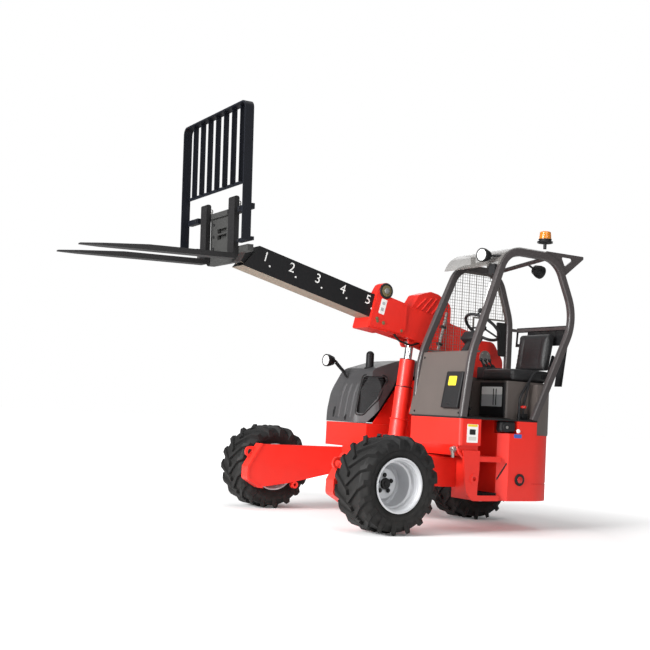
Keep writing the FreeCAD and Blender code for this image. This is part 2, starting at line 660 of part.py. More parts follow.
# ---- hood --------------------------------------------------------------------------------------
HOOD_WINDOW = [(98, 912, 24), (28, 912, 30), (-92, 1055, 60), (-156, 1226, 26), (-138, 1262, 26), (62, 1262, 40)]
HOOD_CORNER = V(-735, -430, 0)       # middle of the bevelled corner that holds the window


def hood_form(inset):
    """The hood's outer form, or the same form drawn in by inset."""
    x0, x1 = HOOD_X0 + inset, HOOD_X1 - inset
    y0, y1 = HOOD_Y0 + inset, HOOD_Y1 - inset
    top = HOOD_TOP - inset
    low = HOOD_Z0 - (1 if inset else 0)
    side = side_prism([(x1, low, 0), (x1 - 42, 1090, 300), (x1 - 137, 1330 - inset, 110), (x1 - 430, 1425 - inset, 600),
                       (x1 - 700, top, 500), (x0 + 180, top - 25, 160), (x0, 1180, 200), (x0, low, 0)], y0 - 10, y1 + 10)
    front = front_prism([(y0, low, 0), (y0 + 14, 1150, 200), (y0 + 110, top, 110), (y1 - 130, top, 110),
                         (y1 - 20, 1180, 200), (y1, low, 0)], x0 - 10, x1 + 10)
    plan = plan_prism([(x1, y1 - 170, 120), (x1, y0, 40 - inset), (x0, y0, 130 - inset), (x0, y1, 60 - inset),
                       (x1 - 170, y1, 120)], low - 5, top + 10)
    return side.common(front).common(plan)


def corner_prism(points, near, far):
    """A profile (across, up, radius) extruded square to the hood's bevelled corner."""
    shape = turned(side_prism(points, near, far), V(0, 0, 0), V(0, 0, 1), -45)
    shape.translate(HOOD_CORNER)
    return shape


def hood_shell():
    shell = hood_form(0).cut(hood_form(HOOD_SKIN))
    # the lower edge on the boom side slopes up to clear the frame
    slope = side_prism([(-726, 815, 0), (-1740, 815, 0), (-1740, 1290, 0), (-1063, 1290, 60)], HOOD_Y1 - 150, HOOD_Y1 + 20)
    barrels = [cross_pin(HOOD_X0 + 12, HOOD_Z0 + 14, y, y + 110, HINGE_R) for y in (-880, -590)]
    return union(shell.cut(slope).cut(corner_prism(HOOD_WINDOW, -120, 120)), *barrels)


def hood_grille():
    """Dark grille behind the corner window."""
    plate = corner_prism([(112, 885, 0), (12, 885, 0), (-118, 1050, 0), (-190, 1240, 0), (-170, 1300, 0), (90, 1300, 0)], -46, -38)
    return largest(plate.common(hood_form(HOOD_SKIN + 1)))


def hood_stack():
    """Short upright exhaust pipe with a rounded cap."""
    return union(Part.makeCylinder(38, 150, V(-860, -600, 1320)), Part.makeSphere(38, V(-860, -600, 1470)))


# ---- boom --------------------------------------------------------------------------------------
def boom_outer():
    half = OUTER_W / 2
    low_rear, low_front = -150.0, -172.0
    body = along_boom([(-120, -190, 60), (760, low_rear, 0), (MOUTH_S, low_front, 0), (MOUTH_S, 124, 0),
                       (150, 124, 60), (-120, 10, 80)], -half, half)
    sleeve = along_boom([(884, -140, 60), (MOUTH_S + 10, -186, 0), (MOUTH_S + 10, 128, 0), (936, 128, 0)],
                        -half - 14, half + 14)
    lip = along_boom([(MOUTH_S - 200, -176, 0), (MOUTH_S + 14, -200, 0), (MOUTH_S + 14, -140, 0),
                      (MOUTH_S - 200, -140, 0)], -half, half)
    hub = boom_point(MOUTH_S - 74, 163)
    pulley_boss = cross_pin(hub.x, hub.z, 36, half + 14, 72)
    boss_web = along_boom([(MOUTH_S - 146, 120, 0), (MOUTH_S + 10, 120, 0), (MOUTH_S + 10, 140, 0), (MOUTH_S - 8, 200, 0),
                           (MOUTH_S - 74, 160, 0)], 36, half + 14)
    lugs = []
    for side in (-1, 1):
        y0, y1 = sorted((side * 52, side * 72))
        lugs.append(side_prism([(CYL_EYE.x - 120, CYL_EYE.z + 60, 0), (CYL_EYE.x - 50, CYL_EYE.z - 45, 30),
                                (CYL_EYE.x + 50, CYL_EYE.z - 45, 30), (CYL_EYE.x + 110, CYL_EYE.z + 110, 0)], y0, y1))
    body = union(body, sleeve, lip, pulley_boss, boss_web, *lugs)
    hollow_s = MOUTH_S - OVERLAP - STROKE - 17
    hollow = along_boom([(hollow_s, -(INNER_H / 2) - WEAR_PAD, 0), (MOUTH_S + 200, -(INNER_H / 2) - WEAR_PAD, 0),
                         (MOUTH_S + 200, INNER_H / 2 + WEAR_PAD, 0), (hollow_s, INNER_H / 2 + WEAR_PAD, 0)],
                        -INNER_W / 2 - WEAR_PAD, INNER_W / 2 + WEAR_PAD)
    bore = cross_pin(PIVOT.x, PIVOT.z, -200, 200, PIVOT_PIN_R + PIN_FIT)
    eye_pocket = along_boom([(560, -300, 0), (560, -100, 0), (930, -100, 0), (930, -300, 0)], -51.9, 51.9)
    return body.cut(hollow).cut(bore).cut(eye_pocket)


def boom_cover():
    """Ribbed hose cover on top of the outer boom."""
    return along_boom([(390, 124.2, 0), (430, 300, 90), (600, 344, 60), (690, 338, 60), (800, 272, 30), (842, 150, 0),
                       (842, 128.2, 0), (800, 128.2, 0), (799, 124.2, 0)], -COVER_HALF, COVER_HALF)


def boom_inner():
    half_w, half_h = INNER_W / 2, INNER_H / 2
    profile = [(MOUTH_S - OVERLAP, -half_h, 0), (TIP_S - 20, -half_h, 0), (TIP_S - 120, half_h, 0),
               (MOUTH_S - OVERLAP, half_h, 0)]
    outside = along_boom(profile, -half_w, half_w)
    t = INNER_T
    inside = along_boom([(0, -half_h + t, 0), (TIP_S - 60, -half_h + t, 0), (TIP_S - 150, half_h - t, 0),
                         (0, half_h - t, 0)], -half_w + t, half_w - t)
    nose = []
    for side in (-1, 1):
        y0, y1 = sorted((side * 40, side * 62))
        base = boom_point(TIP_S - 90, 0)
        nose.append(side_prism([(base.x - 20, base.z + 60, 0), (TILT_PIN.x + 38, TILT_PIN.z + 38, 37),
                                (TILT_PIN.x + 38, TILT_PIN.z - 38, 37), (base.x - 10, base.z - 80, 0)], y0, y1))
    return union(outside.cut(inside), *nose).cut(cross_pin(TILT_PIN.x, TILT_PIN.z, -90, 90, TILT_PIN_R + PIN_FIT))


# ---- carriage ----------------------------------------------------------------------------------
def leaned(shape):
    """The same shape leaned forward with the forks about the tilt pin."""
    return turned(shape, TILT_PIN, V(0, 1, 0), FORK_DROOP)


def carriage():
    """Fork carriage: two bars across, the stepped plate with its window, and the tilt lugs."""
    x0, x1 = HEEL_X - 52, HEEL_X - 2
    low = box(x0, x1, -CARRIAGE_HALF, CARRIAGE_HALF, 2122, 2176)
    high = box(x0, x1, -360, 360, 2448, 2496)
    ledge = box(x1 - 20, x1 + 10, -190, 112, 2448, 2492)
    plate = front_prism([(-200, 2122, 0), (-200, 2496, 0), (95, 2496, 0), (95, 2562, 0), (200, 2562, 0), (200, 2122, 0)],
                        x1 - 34, x1 - 10)
    stiles = [box(x0, x1 - 12, -200, -150, 2122, 2490), box(x0, x1 - 12, 120, 200, 2122, 2550)]
    window = box(x0 - 50, x1 + 50, -101, 68, 2268, 2356)
    back_plate = box(x0, x0 + 6, -155, 125, 2240, 2390)
    middle_bar = box(x1 - 34, x1 - 10, -110, 80, 2306, 2318)
    belly = front_prism([(-330, 2124, 0), (-250, 2062, 60), (250, 2056, 60), (330, 2124, 0)], x0, x1)
    braces = []
    for side in (-1, 1):
        y0, y1 = sorted((side * 200, side * 208))
        braces.append(side_prism([(x0, 2180, 0), (x1, 2180, 0), (x1, 2496, 0), (x0, 2496, 0)], y0, y1))
    lugs = []
    for side in (-1, 1):
        y0, y1 = sorted((side * 68, side * 92))
        lugs.append(side_prism([(TILT_PIN.x - 40, TILT_PIN.z - 40, 38), (x1 - 12, TILT_PIN.z - 40, 0),
                                (x1 - 12, TILT_PIN.z + 110, 0), (TILT_PIN.x - 10, TILT_PIN.z + 60, 38)], y0, y1))
    pin = cross_pin(TILT_PIN.x, TILT_PIN.z, -96, 96, TILT_PIN_R)
    frame = union(low, high, ledge, plate, belly, *stiles, *braces)
    return leaned(union(frame.cut(window), back_plate, middle_bar, pin, *lugs))


def fork(y):
    """One forged fork: upright shank and tapered blade, tips a little low."""
    blade = side_prism([(0, 0, 26), (FORK_T + FORK_LEN, 0, 0), (FORK_T + FORK_LEN, 10, 0),
                        (FORK_T + 700, FORK_T, 0), (FORK_T, FORK_T, 20), (FORK_T, SHANK_H, 14), (0, SHANK_H, 18)],
                       y - FORK_W / 2, y + FORK_W / 2)
    tip_cut = []
    for side in (-1, 1):
        edge = plan_prism([(FORK_T + FORK_LEN - 160, side * FORK_W / 2 + y, 0), (FORK_T + FORK_LEN + 5, side * 22 + y, 0),
                           (FORK_T + FORK_LEN + 5, side * (FORK_W / 2 + 5) + y, 0)], -5, FORK_T + 5)
        tip_cut.append(edge)
    blade = blade.cut(union(*tip_cut))
    blade = turned(blade, V(0, 0, 0), V(0, 1, 0), FORK_DROOP)
    blade.translate(V(HEEL_X, 0, HEEL_Z))
    return blade


def backrest():
    """Load backrest: a bent frame of flat bar, a rail, and bars between them."""
    outer = front_prism([(-REST_HALF, REST_Z0, 0), (-REST_HALF, REST_Z1, 60), (REST_HALF, REST_Z1, 60),
                         (REST_HALF, REST_Z0, 0)], REST_X0, REST_X1)
    inner = front_prism([(-REST_HALF + 14, REST_Z0 - 5, 0), (-REST_HALF + 14, REST_Z1 - 14, 48),
                         (REST_HALF - 14, REST_Z1 - 14, 48), (REST_HALF - 14, REST_Z0 - 5, 0)],
                        REST_X0 - 5, REST_X1 + 5)
    frame = outer.cut(inner)
    rail = box(REST_X0, REST_X0 + 14, -REST_HALF + 5, REST_HALF - 5, REST_RAIL_Z - 12, REST_RAIL_Z + 12)
    bars = []
    step = 2 * REST_HALF / (REST_BARS + 1)
    for i in range(REST_BARS):
        y = -REST_HALF + step * (i + 1)
        bars.append(box(REST_X0, REST_X0 + 45, y - 5, y + 5, REST_RAIL_Z, REST_Z1 - 10))
    low_bars = [box(REST_X0 - 32, REST_X0 + 14, side * REST_ARM_IN, side * (REST_HALF - 5), z - half, z + half)
                for side in (-1, 1) for z, half in ((2206, 14), (2456, 22))]
    return leaned(union(frame, rail, *bars, *low_bars))


# ---- lift cylinder -----------------------------------------------------------------------------
CYL_AXIS = (CYL_EYE - CYL_FOOT).normalize()
CYL_LEN = (CYL_EYE - CYL_FOOT).Length


def along_cylinder(distance):
    return CYL_FOOT + CYL_AXIS * distance


def lift_barrel():
    tube_ = rod(along_cylinder(60), along_cylinder(BARREL_LEN), BARREL_R)
    bore = rod(along_cylinder(80), along_cylinder(BARREL_LEN + 5), STAGE_LOW_R + 0.3)
    eye = union(cross_pin(CYL_FOOT.x, CYL_FOOT.z, -43, 43, 48),
                box(CYL_FOOT.x - 42, CYL_FOOT.x + 38, -43, 43, CYL_FOOT.z, CYL_FOOT.z + 75))
    eye_bore = cross_pin(CYL_FOOT.x, CYL_FOOT.z, -50, 50, FOOT_PIN_R + PIN_FIT)
    return union(tube_, eye).cut(bore).cut(eye_bore)


def lift_stage(top, radius, inner_radius):
    """One red stage of the telescopic cylinder, open right through for the next one."""
    body = rod(along_cylinder(top - STAGE_LEN), along_cylinder(top), radius)
    return body.cut(rod(along_cylinder(top - STAGE_LEN - 5), along_cylinder(top + 5), inner_radius + 0.3))


def lift_rod():
    bar = rod(along_cylinder(STAGE_TOP_TOP - STAGE_LEN + 70), along_cylinder(CYL_LEN - 20), ROD_R)
    eye = cross_pin(CYL_EYE.x, CYL_EYE.z, -46, 46, 44)
    return union(bar, eye)


# ---- rear steering -----------------------------------------------------------------------------
def rear_yoke():
    """Steered fork over the rear wheel: crown, two legs and the hub stub on the left leg."""
    crown = plan_prism([(REAR_X - 130, -240, 40), (REAR_X + 130, -240, 40), (REAR_X + 130, 240, 40),
                        (REAR_X - 130, 240, 40)], 800, 845)
    post = Part.makeCylinder(110, 30, V(REAR_X, 0, 845))
    leg = side_prism([(REAR_X - 110, 801, 0), (REAR_X - 80, 330, 80), (REAR_X + 80, 330, 80), (REAR_X + 110, 801, 0)],
                     212, 240)
    stub = cross_pin(REAR_X, WHEEL_R, -16 + CLEAR, 213, 40)
    return union(crown, post, leg, mirrored(leg), stub)


def main():
    os.makedirs("parts", exist_ok=True)
    frame = main_frame()
    left_arm = straddle_arm()
    export("main_frame", frame)
    export("boom_pivot_pin", pivot_pin())
    export("straddle_arm_left", left_arm)
    export("straddle_arm_right", mirrored(left_arm))
    export("step_frame", step_frame())
    export("counterweight_left", counterweight_left())
    export("body_right", body_right())
    export("engine_block", engine().cut(body_right()))
    export("cab_floor", cab_floor())
    guard = guard_frame()
    export("cab_front", largest(cab_front().cut(guard)))
    export("guard_frame", guard)
    export("guard_mesh", largest(guard_mesh().cut(guard)))
    export("roof_sheet", roof_sheet())
    export("seat_base", seat_base())
    export("control_panel", control_panel())
    export("seat_frame", seat_slides(), *[iron.cut(seat_cushion()) for iron in seat_hinge()])
    export("seat_cushion", seat_cushion())
    export("seat_back", seat_back())
    export("side_panel", largest(side_panel().cut(guard)))
    export("side_pad", side_pad())
    export("rear_panel", rear_panel().cut(guard))
    export("rear_cover", largest(rear_cover().cut(union(seat_base(), cab_floor(), guard))))
    export("steering_column", steering_column())
    export("steering_wheel", steering_wheel())
    export("control_levers", levers())
    export("grab_rail", grab_rail())
    export("document_box", document_box())
    export("beacon_base", beacon_base())
    export("beacon", beacon())
    export("work_lamps", *work_lamps(union(guard, roof_sheet())))
    export("tank_cap", tank_cap())
    export("tail_lamps", *tail_lamps())
    hood = hood_shell()
    export("hood_shell", hood)
    export("hood_grille", hood_grille().cut(hood))
    export("hood_stack", largest(hood_stack().cut(hood_form(0))))
    export("hood_lamp", hood_lamp(hood_form(0)))
    export("boom_outer", boom_outer())
    export("boom_cover", boom_cover())
    export("boom_inner", boom_inner())
    export("carriage", carriage())
    export("forks", fork(-FORK_Y), fork(FORK_Y))
    export("backrest", backrest())
    export("lift_barrel", lift_barrel())
    export("lift_stage_low", lift_stage(STAGE_LOW_TOP, STAGE_LOW_R, STAGE_TOP_R))
    export("lift_stage_top", lift_stage(STAGE_TOP_TOP, STAGE_TOP_R, ROD_R))
    export("lift_rod", lift_rod())
    export("rear_yoke", rear_yoke())
    tyre_ = tyre()
    rim_ = rim()
    for name, x, y, flip in (("front_left", 0, FRONT_Y, False), ("front_right", 0, -FRONT_Y, True),
                             ("rear", REAR_X, 0, False)):
        for kind, shape in (("tyre_", tyre_), ("rim_", rim_)):
            placed = mirrored(shape) if flip else shape
            export(kind + name, moved(placed, x, y, WHEEL_R))


main()
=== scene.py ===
# %% [markdown]
# # A truck-mounted forklift, dressed in Blender
# The solids of this machine come from a CAD source and arrive here as a fixed frame. They can
# only be given materials. Everything a CAD source leaves out, such as bolts, seams, lenses, wire
# and worn paint, is added in the cells below, piece by piece, and each piece is tied to the body
# of the machine that it moves with.

# %% Load the frame
import bpy
import bmesh
import math
from mathutils import Matrix, Vector
from mathutils.bvhtree import BVHTree


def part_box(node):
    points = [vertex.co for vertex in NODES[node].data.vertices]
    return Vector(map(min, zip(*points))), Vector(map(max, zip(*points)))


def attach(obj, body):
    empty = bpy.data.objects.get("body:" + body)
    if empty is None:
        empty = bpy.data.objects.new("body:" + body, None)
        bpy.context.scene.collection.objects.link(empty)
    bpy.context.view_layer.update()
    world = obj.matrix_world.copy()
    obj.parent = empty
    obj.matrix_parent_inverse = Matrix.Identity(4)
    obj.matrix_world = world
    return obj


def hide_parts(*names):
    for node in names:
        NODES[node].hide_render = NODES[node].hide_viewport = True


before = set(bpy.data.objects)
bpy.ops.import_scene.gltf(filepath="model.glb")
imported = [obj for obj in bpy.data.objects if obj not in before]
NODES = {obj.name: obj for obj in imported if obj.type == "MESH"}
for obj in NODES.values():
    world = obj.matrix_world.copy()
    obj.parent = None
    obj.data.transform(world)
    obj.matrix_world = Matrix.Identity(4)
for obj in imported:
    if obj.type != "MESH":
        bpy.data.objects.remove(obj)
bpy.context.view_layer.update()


# %% [markdown]
# ## Camera
# A long lens far away keeps the proportions of a big machine honest. The camera stands at the
# height of a person's chest, looks up by five degrees, and is rolled by three, as a hand-held
# camera often is. Its direction is written as a heading and a tilt in radians, which are easier
# to read than three Euler angles.

# %% Camera
CAMERA_PLACE = Vector((4.5496, 7.6172, 0.9076))
HEADING = 0.550348
TILT = 0.083038
ROLL = 0.055302
LENS = 57.66

looking = Vector((-math.sin(HEADING) * math.cos(TILT), -math.cos(HEADING) * math.cos(TILT), math.sin(TILT)))
camera_data = bpy.data.cameras.new("camera")
camera_data.sensor_width = 36.0
camera_data.lens = LENS
camera = bpy.data.objects.new("camera", camera_data)
aim = looking.to_track_quat("-Z", "Y").to_matrix().to_4x4()
camera.matrix_world = Matrix.Translation(CAMERA_PLACE) @ aim @ Matrix.Rotation(ROLL, 4, "Z")
bpy.context.scene.collection.objects.link(camera)
bpy.context.scene.camera = camera
bpy.context.scene.view_settings.view_transform = "Standard"


# %% [markdown]
# ## Studio
# A studio shot of a machine this size is lit by a few very large soft boxes, so that glossy
# paint shows broad highlights instead of hard spots. The strongest box stands in front, so the
# front faces are the brightest. The world gives a low even fill and is plain white only where
# the camera looks straight at it.

# %% World
def link(tree, *joints):
    """Each joint is a node and its output, then a node and its input."""
    for out_node, out_name, in_node, in_name in joints:
        tree.links.new(out_node.outputs[out_name], in_node.inputs[in_name])


def node(tree, kind, sockets=None, **settings):
    """A new node with its properties and unlinked sockets set."""
    made = tree.nodes.new(kind)
    for key, value in settings.items():
        setattr(made, key, value)
    for socket, value in (sockets or {}).items():
        made.inputs[socket].default_value = value
    return made


world = bpy.data.worlds.new("studio")
bpy.context.scene.world = world
world.use_nodes = True
wt = world.node_tree
wt.nodes.clear()
FILL = 0.24
FULL_WHITE = (1.0, 1.0, 1.0, 1.0)
sky = node(wt, "ShaderNodeBackground", {"Color": FULL_WHITE, "Strength": FILL})
white = node(wt, "ShaderNodeBackground", {"Color": FULL_WHITE, "Strength": 1.0})
path = node(wt, "ShaderNodeLightPath")
mix = node(wt, "ShaderNodeMixShader")
world_out = node(wt, "ShaderNodeOutputWorld")
link(wt, (path, "Is Camera Ray", mix, 0), (sky, 0, mix, 1), (white, 0, mix, 2),
     (mix, 0, world_out, "Surface"))


# %% [markdown]
# ## Soft boxes and floor
# A soft box is a square area lamp, and the larger it is, the softer the edge of a shadow. The
# floor is a pale matte sheet. Far from the machine it also glows, so that it runs into the white
# background without a horizon. Only the camera sees the glow, so it lights nothing.

# %% Soft boxes and floor
SOFT_BOXES = (
    ("key_box", (10.0, 2.0, 4.5), 5.0, 2350.0),
    ("fill_box", (1.0, 9.0, 4.0), 5.0, 310.0),
    ("top_box", (0.0, 0.0, 8.0), 7.0, 230.0),
    ("back_box", (-6.0, -6.0, 6.0), 5.0, 110.0),
)
LIT_SPOT = Vector((0.0, 0.0, 1.0))
for box_name, place, side, power in SOFT_BOXES:
    lamp_data = bpy.data.lights.new(box_name, "AREA")
    lamp_data.shape = "SQUARE"
    lamp_data.size = side
    lamp_data.energy = power
    lamp = bpy.data.objects.new(box_name, lamp_data)
    lamp.location = place
    lamp.rotation_euler = (LIT_SPOT - Vector(place)).to_track_quat("-Z", "Y").to_euler()
    bpy.context.scene.collection.objects.link(lamp)

FLOOR_HALF = 60.0
floor_bm = bmesh.new()
bmesh.ops.create_grid(floor_bm, x_segments=1, y_segments=1, size=FLOOR_HALF)
floor_mesh = bpy.data.meshes.new("floor")
floor_bm.to_mesh(floor_mesh)
floor_bm.free()
floor = bpy.data.objects.new("floor", floor_mesh)
bpy.context.scene.collection.objects.link(floor)
floor_paint = bpy.data.materials.new("pale_floor")
floor_paint.use_nodes = True
ft = floor_paint.node_tree
ft.nodes.clear()
matte = node(ft, "ShaderNodeBsdfDiffuse", {"Color": (0.82, 0.82, 0.82, 1.0)})
lift = node(ft, "ShaderNodeEmission", {"Color": FULL_WHITE})
floor_path = node(ft, "ShaderNodeLightPath")
lift_amount = node(ft, "ShaderNodeMath", operation="MULTIPLY")
floor_coords = node(ft, "ShaderNodeTexCoord")
far_out = node(ft, "ShaderNodeVectorMath", operation="LENGTH")
SHADOW_REACH, WHITE_FROM = 2.6, 6.0
fade = node(ft, "ShaderNodeMapRange",
            {"From Min": SHADOW_REACH, "From Max": WHITE_FROM, "To Min": 0.08, "To Max": 1.0})
link(ft, (floor_coords, "Object", far_out, 0), (far_out, "Value", fade, "Value"),
     (fade, "Result", lift_amount, 1))
both = node(ft, "ShaderNodeAddShader")
floor_out = node(ft, "ShaderNodeOutputMaterial")
link(ft, (floor_path, "Is Camera Ray", lift_amount, 0), (lift_amount, 0, lift, "Strength"),
     (matte, 0, both, 0), (lift, 0, both, 1), (both, 0, floor_out, "Surface"))
floor_mesh.materials.append(floor_paint)
print("lights", len(SOFT_BOXES))


# %% [markdown]
# ## Shared surface effects
# Working machines are never one flat colour. Three effects come back on most surfaces: cloudy
# tint, where paint lies thicker or thinner; road dust, which is heaviest near the ground; and a
# fine relief, which is orange peel in paint, grain in plastic and grit in rubber. Each one is a
# node group with named sockets, so that every material can use it with its own numbers.

# %% Node groups
def new_group(name, inputs, outputs):
    """A node group with its two end nodes; inputs give a value, outputs a kind."""
    group = bpy.data.node_groups.new(name, "ShaderNodeTree")
    for socket, value in inputs.items():
        kind = "NodeSocketColor" if isinstance(value, tuple) else "NodeSocketFloat"
        made = group.interface.new_socket(name=socket, in_out="INPUT", socket_type=kind)
        made.default_value = value
    for socket, kind in outputs.items():
        group.interface.new_socket(name=socket, in_out="OUTPUT", socket_type="NodeSocket" + kind)
    return group, group.nodes.new("NodeGroupInput"), group.nodes.new("NodeGroupOutput")


TINT, tint_in, tint_out = new_group(
    "cloudy_tint", {"Color": (0.5, 0.5, 0.5, 1.0), "Shade": 0.85, "Scale": 2.0},
    {"Color": "Color", "Mask": "Float"})
place_node = node(TINT, "ShaderNodeTexCoord")
cloud = node(TINT, "ShaderNodeTexNoise", {"Detail": 6.0, "Roughness": 0.62})
spread = node(TINT, "ShaderNodeMapRange", {"From Min": 0.35, "From Max": 0.7})
shaded = node(TINT, "ShaderNodeVectorMath", operation="SCALE")
blend_colour = node(TINT, "ShaderNodeMix", data_type="RGBA")
link(TINT, (place_node, "Object", cloud, "Vector"), (tint_in, "Scale", cloud, "Scale"),
     (cloud, "Fac", spread, "Value"), (tint_in, "Color", shaded, 0), (tint_in, "Shade", shaded, "Scale"),
     (spread, "Result", blend_colour, "Factor"), (tint_in, "Color", blend_colour, "A"),
     (shaded, 0, blend_colour, "B"), (blend_colour, "Result", tint_out, "Color"),
     (spread, "Result", tint_out, "Mask"))

DUST, dust_in, dust_out = new_group(
    "road_dust", {"Color": (0.5, 0.5, 0.5, 1.0), "Dust": (0.32, 0.28, 0.23, 1.0), "Amount": 0.3, "Top": 0.6},
    {"Color": "Color", "Mask": "Float"})
dust_place = node(DUST, "ShaderNodeTexCoord")
dust_axes = node(DUST, "ShaderNodeSeparateXYZ")
falling = node(DUST, "ShaderNodeMapRange", {"From Max": 0.0, "To Min": 0.0, "To Max": 1.0})
speckle = node(DUST, "ShaderNodeTexNoise", {"Scale": 14.0, "Detail": 8.0})
patchy = node(DUST, "ShaderNodeMath", operation="MULTIPLY")
strong = node(DUST, "ShaderNodeMath", operation="MULTIPLY", use_clamp=True)
dusty = node(DUST, "ShaderNodeMix", data_type="RGBA")
link(DUST, (dust_place, "Object", dust_axes, 0), (dust_place, "Object", speckle, "Vector"),
     (dust_axes, "Z", falling, "Value"), (dust_in, "Top", falling, "From Min"),
     (falling, "Result", patchy, 0), (speckle, "Fac", patchy, 1), (patchy, 0, strong, 0),
     (dust_in, "Amount", strong, 1), (strong, 0, dusty, "Factor"), (dust_in, "Color", dusty, "A"),
     (dust_in, "Dust", dusty, "B"), (dusty, "Result", dust_out, "Color"), (strong, 0, dust_out, "Mask"))

RELIEF, relief_in, relief_out = new_group(
    "fine_relief", {"Scale": 200.0, "Stretch": 1.0}, {"Height": "Float"})
relief_place = node(RELIEF, "ShaderNodeTexCoord")
stretch = node(RELIEF, "ShaderNodeCombineXYZ", {"X": 1.0, "Y": 1.0})
pulled = node(RELIEF, "ShaderNodeVectorMath", operation="MULTIPLY")
grain = node(RELIEF, "ShaderNodeTexNoise", {"Detail": 3.0})
link(RELIEF, (relief_in, "Stretch", stretch, "Z"), (relief_place, "Object", pulled, 0),
     (stretch, 0, pulled, 1), (pulled, 0, grain, "Vector"), (relief_in, "Scale", grain, "Scale"),
     (grain, "Fac", relief_out, "Height"))
print("groups", [g.name for g in bpy.data.node_groups])


# %% [markdown]
# ## Finishes
# Sprayed paint is a colour under a clear coat, moulded plastic has a pebbled grain and no coat,
# and rubber is rough with a dusty bloom. One maker builds them all: a Principled shader whose
# colour runs through the tint and the dust, and whose relief goes through a Bump node. What is
# the same all over a surface is set on the shader itself.

# %% Finish maker
def finish(name, colour, roughness, shade=0.88, tint_scale=2.0, relief=300.0, bump=0.02, metallic=0.0,
           coat=0.0, dust=0.12, dust_top=1.0, ior=1.5):
    made = bpy.data.materials.new(name)
    made.use_nodes = True
    tree = made.node_tree
    shader = tree.nodes["Principled BSDF"]
    tint = node(tree, "ShaderNodeGroup",
                {"Color": (*colour, 1.0), "Shade": shade, "Scale": tint_scale}, node_tree=TINT)
    dirt = node(tree, "ShaderNodeGroup", {"Amount": dust, "Top": dust_top}, node_tree=DUST)
    skin = node(tree, "ShaderNodeGroup", {"Scale": relief}, node_tree=RELIEF)
    pushed = node(tree, "ShaderNodeBump", {"Strength": bump, "Distance": 0.002})
    rough = node(tree, "ShaderNodeMapRange", {"To Min": roughness, "To Max": min(1.0, roughness + 0.14)})
    link(tree, (tint, "Color", dirt, "Color"), (dirt, "Color", shader, "Base Color"),
         (tint, "Mask", rough, "Value"), (rough, "Result", shader, "Roughness"),
         (skin, "Height", pushed, "Height"), (pushed, "Normal", shader, "Normal"))
    shader.inputs["Metallic"].default_value = metallic
    shader.inputs["Coat Weight"].default_value = coat
    shader.inputs["Coat Roughness"].default_value = 0.08
    shader.inputs["IOR"].default_value = ior
    return made


RED = finish("red_paint", (0.76, 0.019, 0.009), 0.38, shade=0.92, coat=0.1, dust=0.05, dust_top=0.9)
HOOD_GREY = finish("hood_grey_paint", (0.062, 0.061, 0.063), 0.38, shade=0.8, coat=0.08, dust=0.03)
TAUPE = finish("taupe_paint", (0.105, 0.088, 0.08), 0.32, shade=0.88, coat=0.15, dust=0.03)
BLACK = finish("black_paint", (0.010, 0.010, 0.011), 0.42, shade=0.7, dust=0.02, ior=1.35)
NAVY = finish("backrest_paint", (0.0035, 0.0045, 0.008), 0.45, shade=0.8, dust=0.0, ior=1.3)
GUARD_GREY = finish("guard_paint", (0.058, 0.05, 0.05), 0.3, shade=0.85, coat=0.25, dust=0.02)
PLATE_GREY = finish("plate_grey", (0.034, 0.034, 0.033), 0.45, shade=0.8, dust=0.03, ior=1.4)
CARRIAGE_GREY = finish("carriage_paint", (0.012, 0.012, 0.012), 0.45, shade=0.75, dust=0.03, ior=1.4)
FORK_STEEL = finish("fork_paint", (0.009, 0.0085, 0.009), 0.42, shade=0.7, dust=0.03, ior=1.38)
WIRE = finish("wire_steel", (0.16, 0.145, 0.13), 0.45, shade=0.8, metallic=0.3, dust=0.0)
PLASTIC = finish("moulded_black", (0.011, 0.011, 0.012), 0.5, shade=0.8, relief=900.0, bump=0.12, dust=0.02,
                 ior=1.4)
RUBBER = finish("tyre_rubber", (0.009, 0.009, 0.0092), 0.62, shade=0.7, tint_scale=9.0, relief=160.0,
                bump=0.25, dust=0.05, dust_top=0.75, ior=1.36)
# Paler rubber for the ring where the tread ends: a painted sheen on the tyre's rounded shoulder.
RUBBER_PAINTED_SHEEN = finish("tyre_painted_sheen", (0.055, 0.054, 0.052), 0.6, shade=0.8, relief=160.0, bump=0.2, dust=0.1)
BRASS = finish("dull_brass", (0.16, 0.13, 0.06), 0.5, shade=0.85, metallic=0.2, dust=0.05)
HOSE_GREY = finish("hose_grey", (0.26, 0.25, 0.24), 0.5, shade=0.85, dust=0.04)
RIM_SILVER = finish("rim_silver", (0.62, 0.63, 0.65), 0.34, shade=0.92, metallic=0.2, coat=0.2, dust=0.08)
CHROME = finish("hard_chrome", (0.85, 0.85, 0.86), 0.08, shade=0.95, metallic=1.0, dust=0.0, bump=0.0)
ZINC = finish("zinc_bolts", (0.45, 0.44, 0.42), 0.35, shade=0.8, metallic=0.9, dust=0.1)
WHITE = finish("white_plastic", (0.85, 0.85, 0.83), 0.35, shade=0.95, dust=0.02)
LABEL_WHITE = finish("label_white", (0.82, 0.82, 0.8), 0.4, shade=0.96, dust=0.02)
LABEL_YELLOW = finish("label_yellow", (0.8, 0.6, 0.03), 0.4, shade=0.95, dust=0.02)
LABEL_GREY = finish("label_grey", (0.4, 0.41, 0.42), 0.4, shade=0.95, dust=0.02)
LABEL_PALE = finish("label_pale", (0.62, 0.62, 0.58), 0.4, shade=0.95, dust=0.02)
LABEL_BLUE = finish("label_blue", (0.04, 0.12, 0.42), 0.4, shade=0.95, dust=0.02)
RUBBER_TRIM = finish("rubber_trim", (0.010, 0.010, 0.010), 0.55, shade=0.8, relief=600.0, bump=0.1, dust=0.02,
                     ior=1.38)
LAMP_WHITE = finish("lamp_lens", (0.8, 0.8, 0.79), 0.08, shade=0.95, dust=0.0, bump=0.0, coat=0.6)
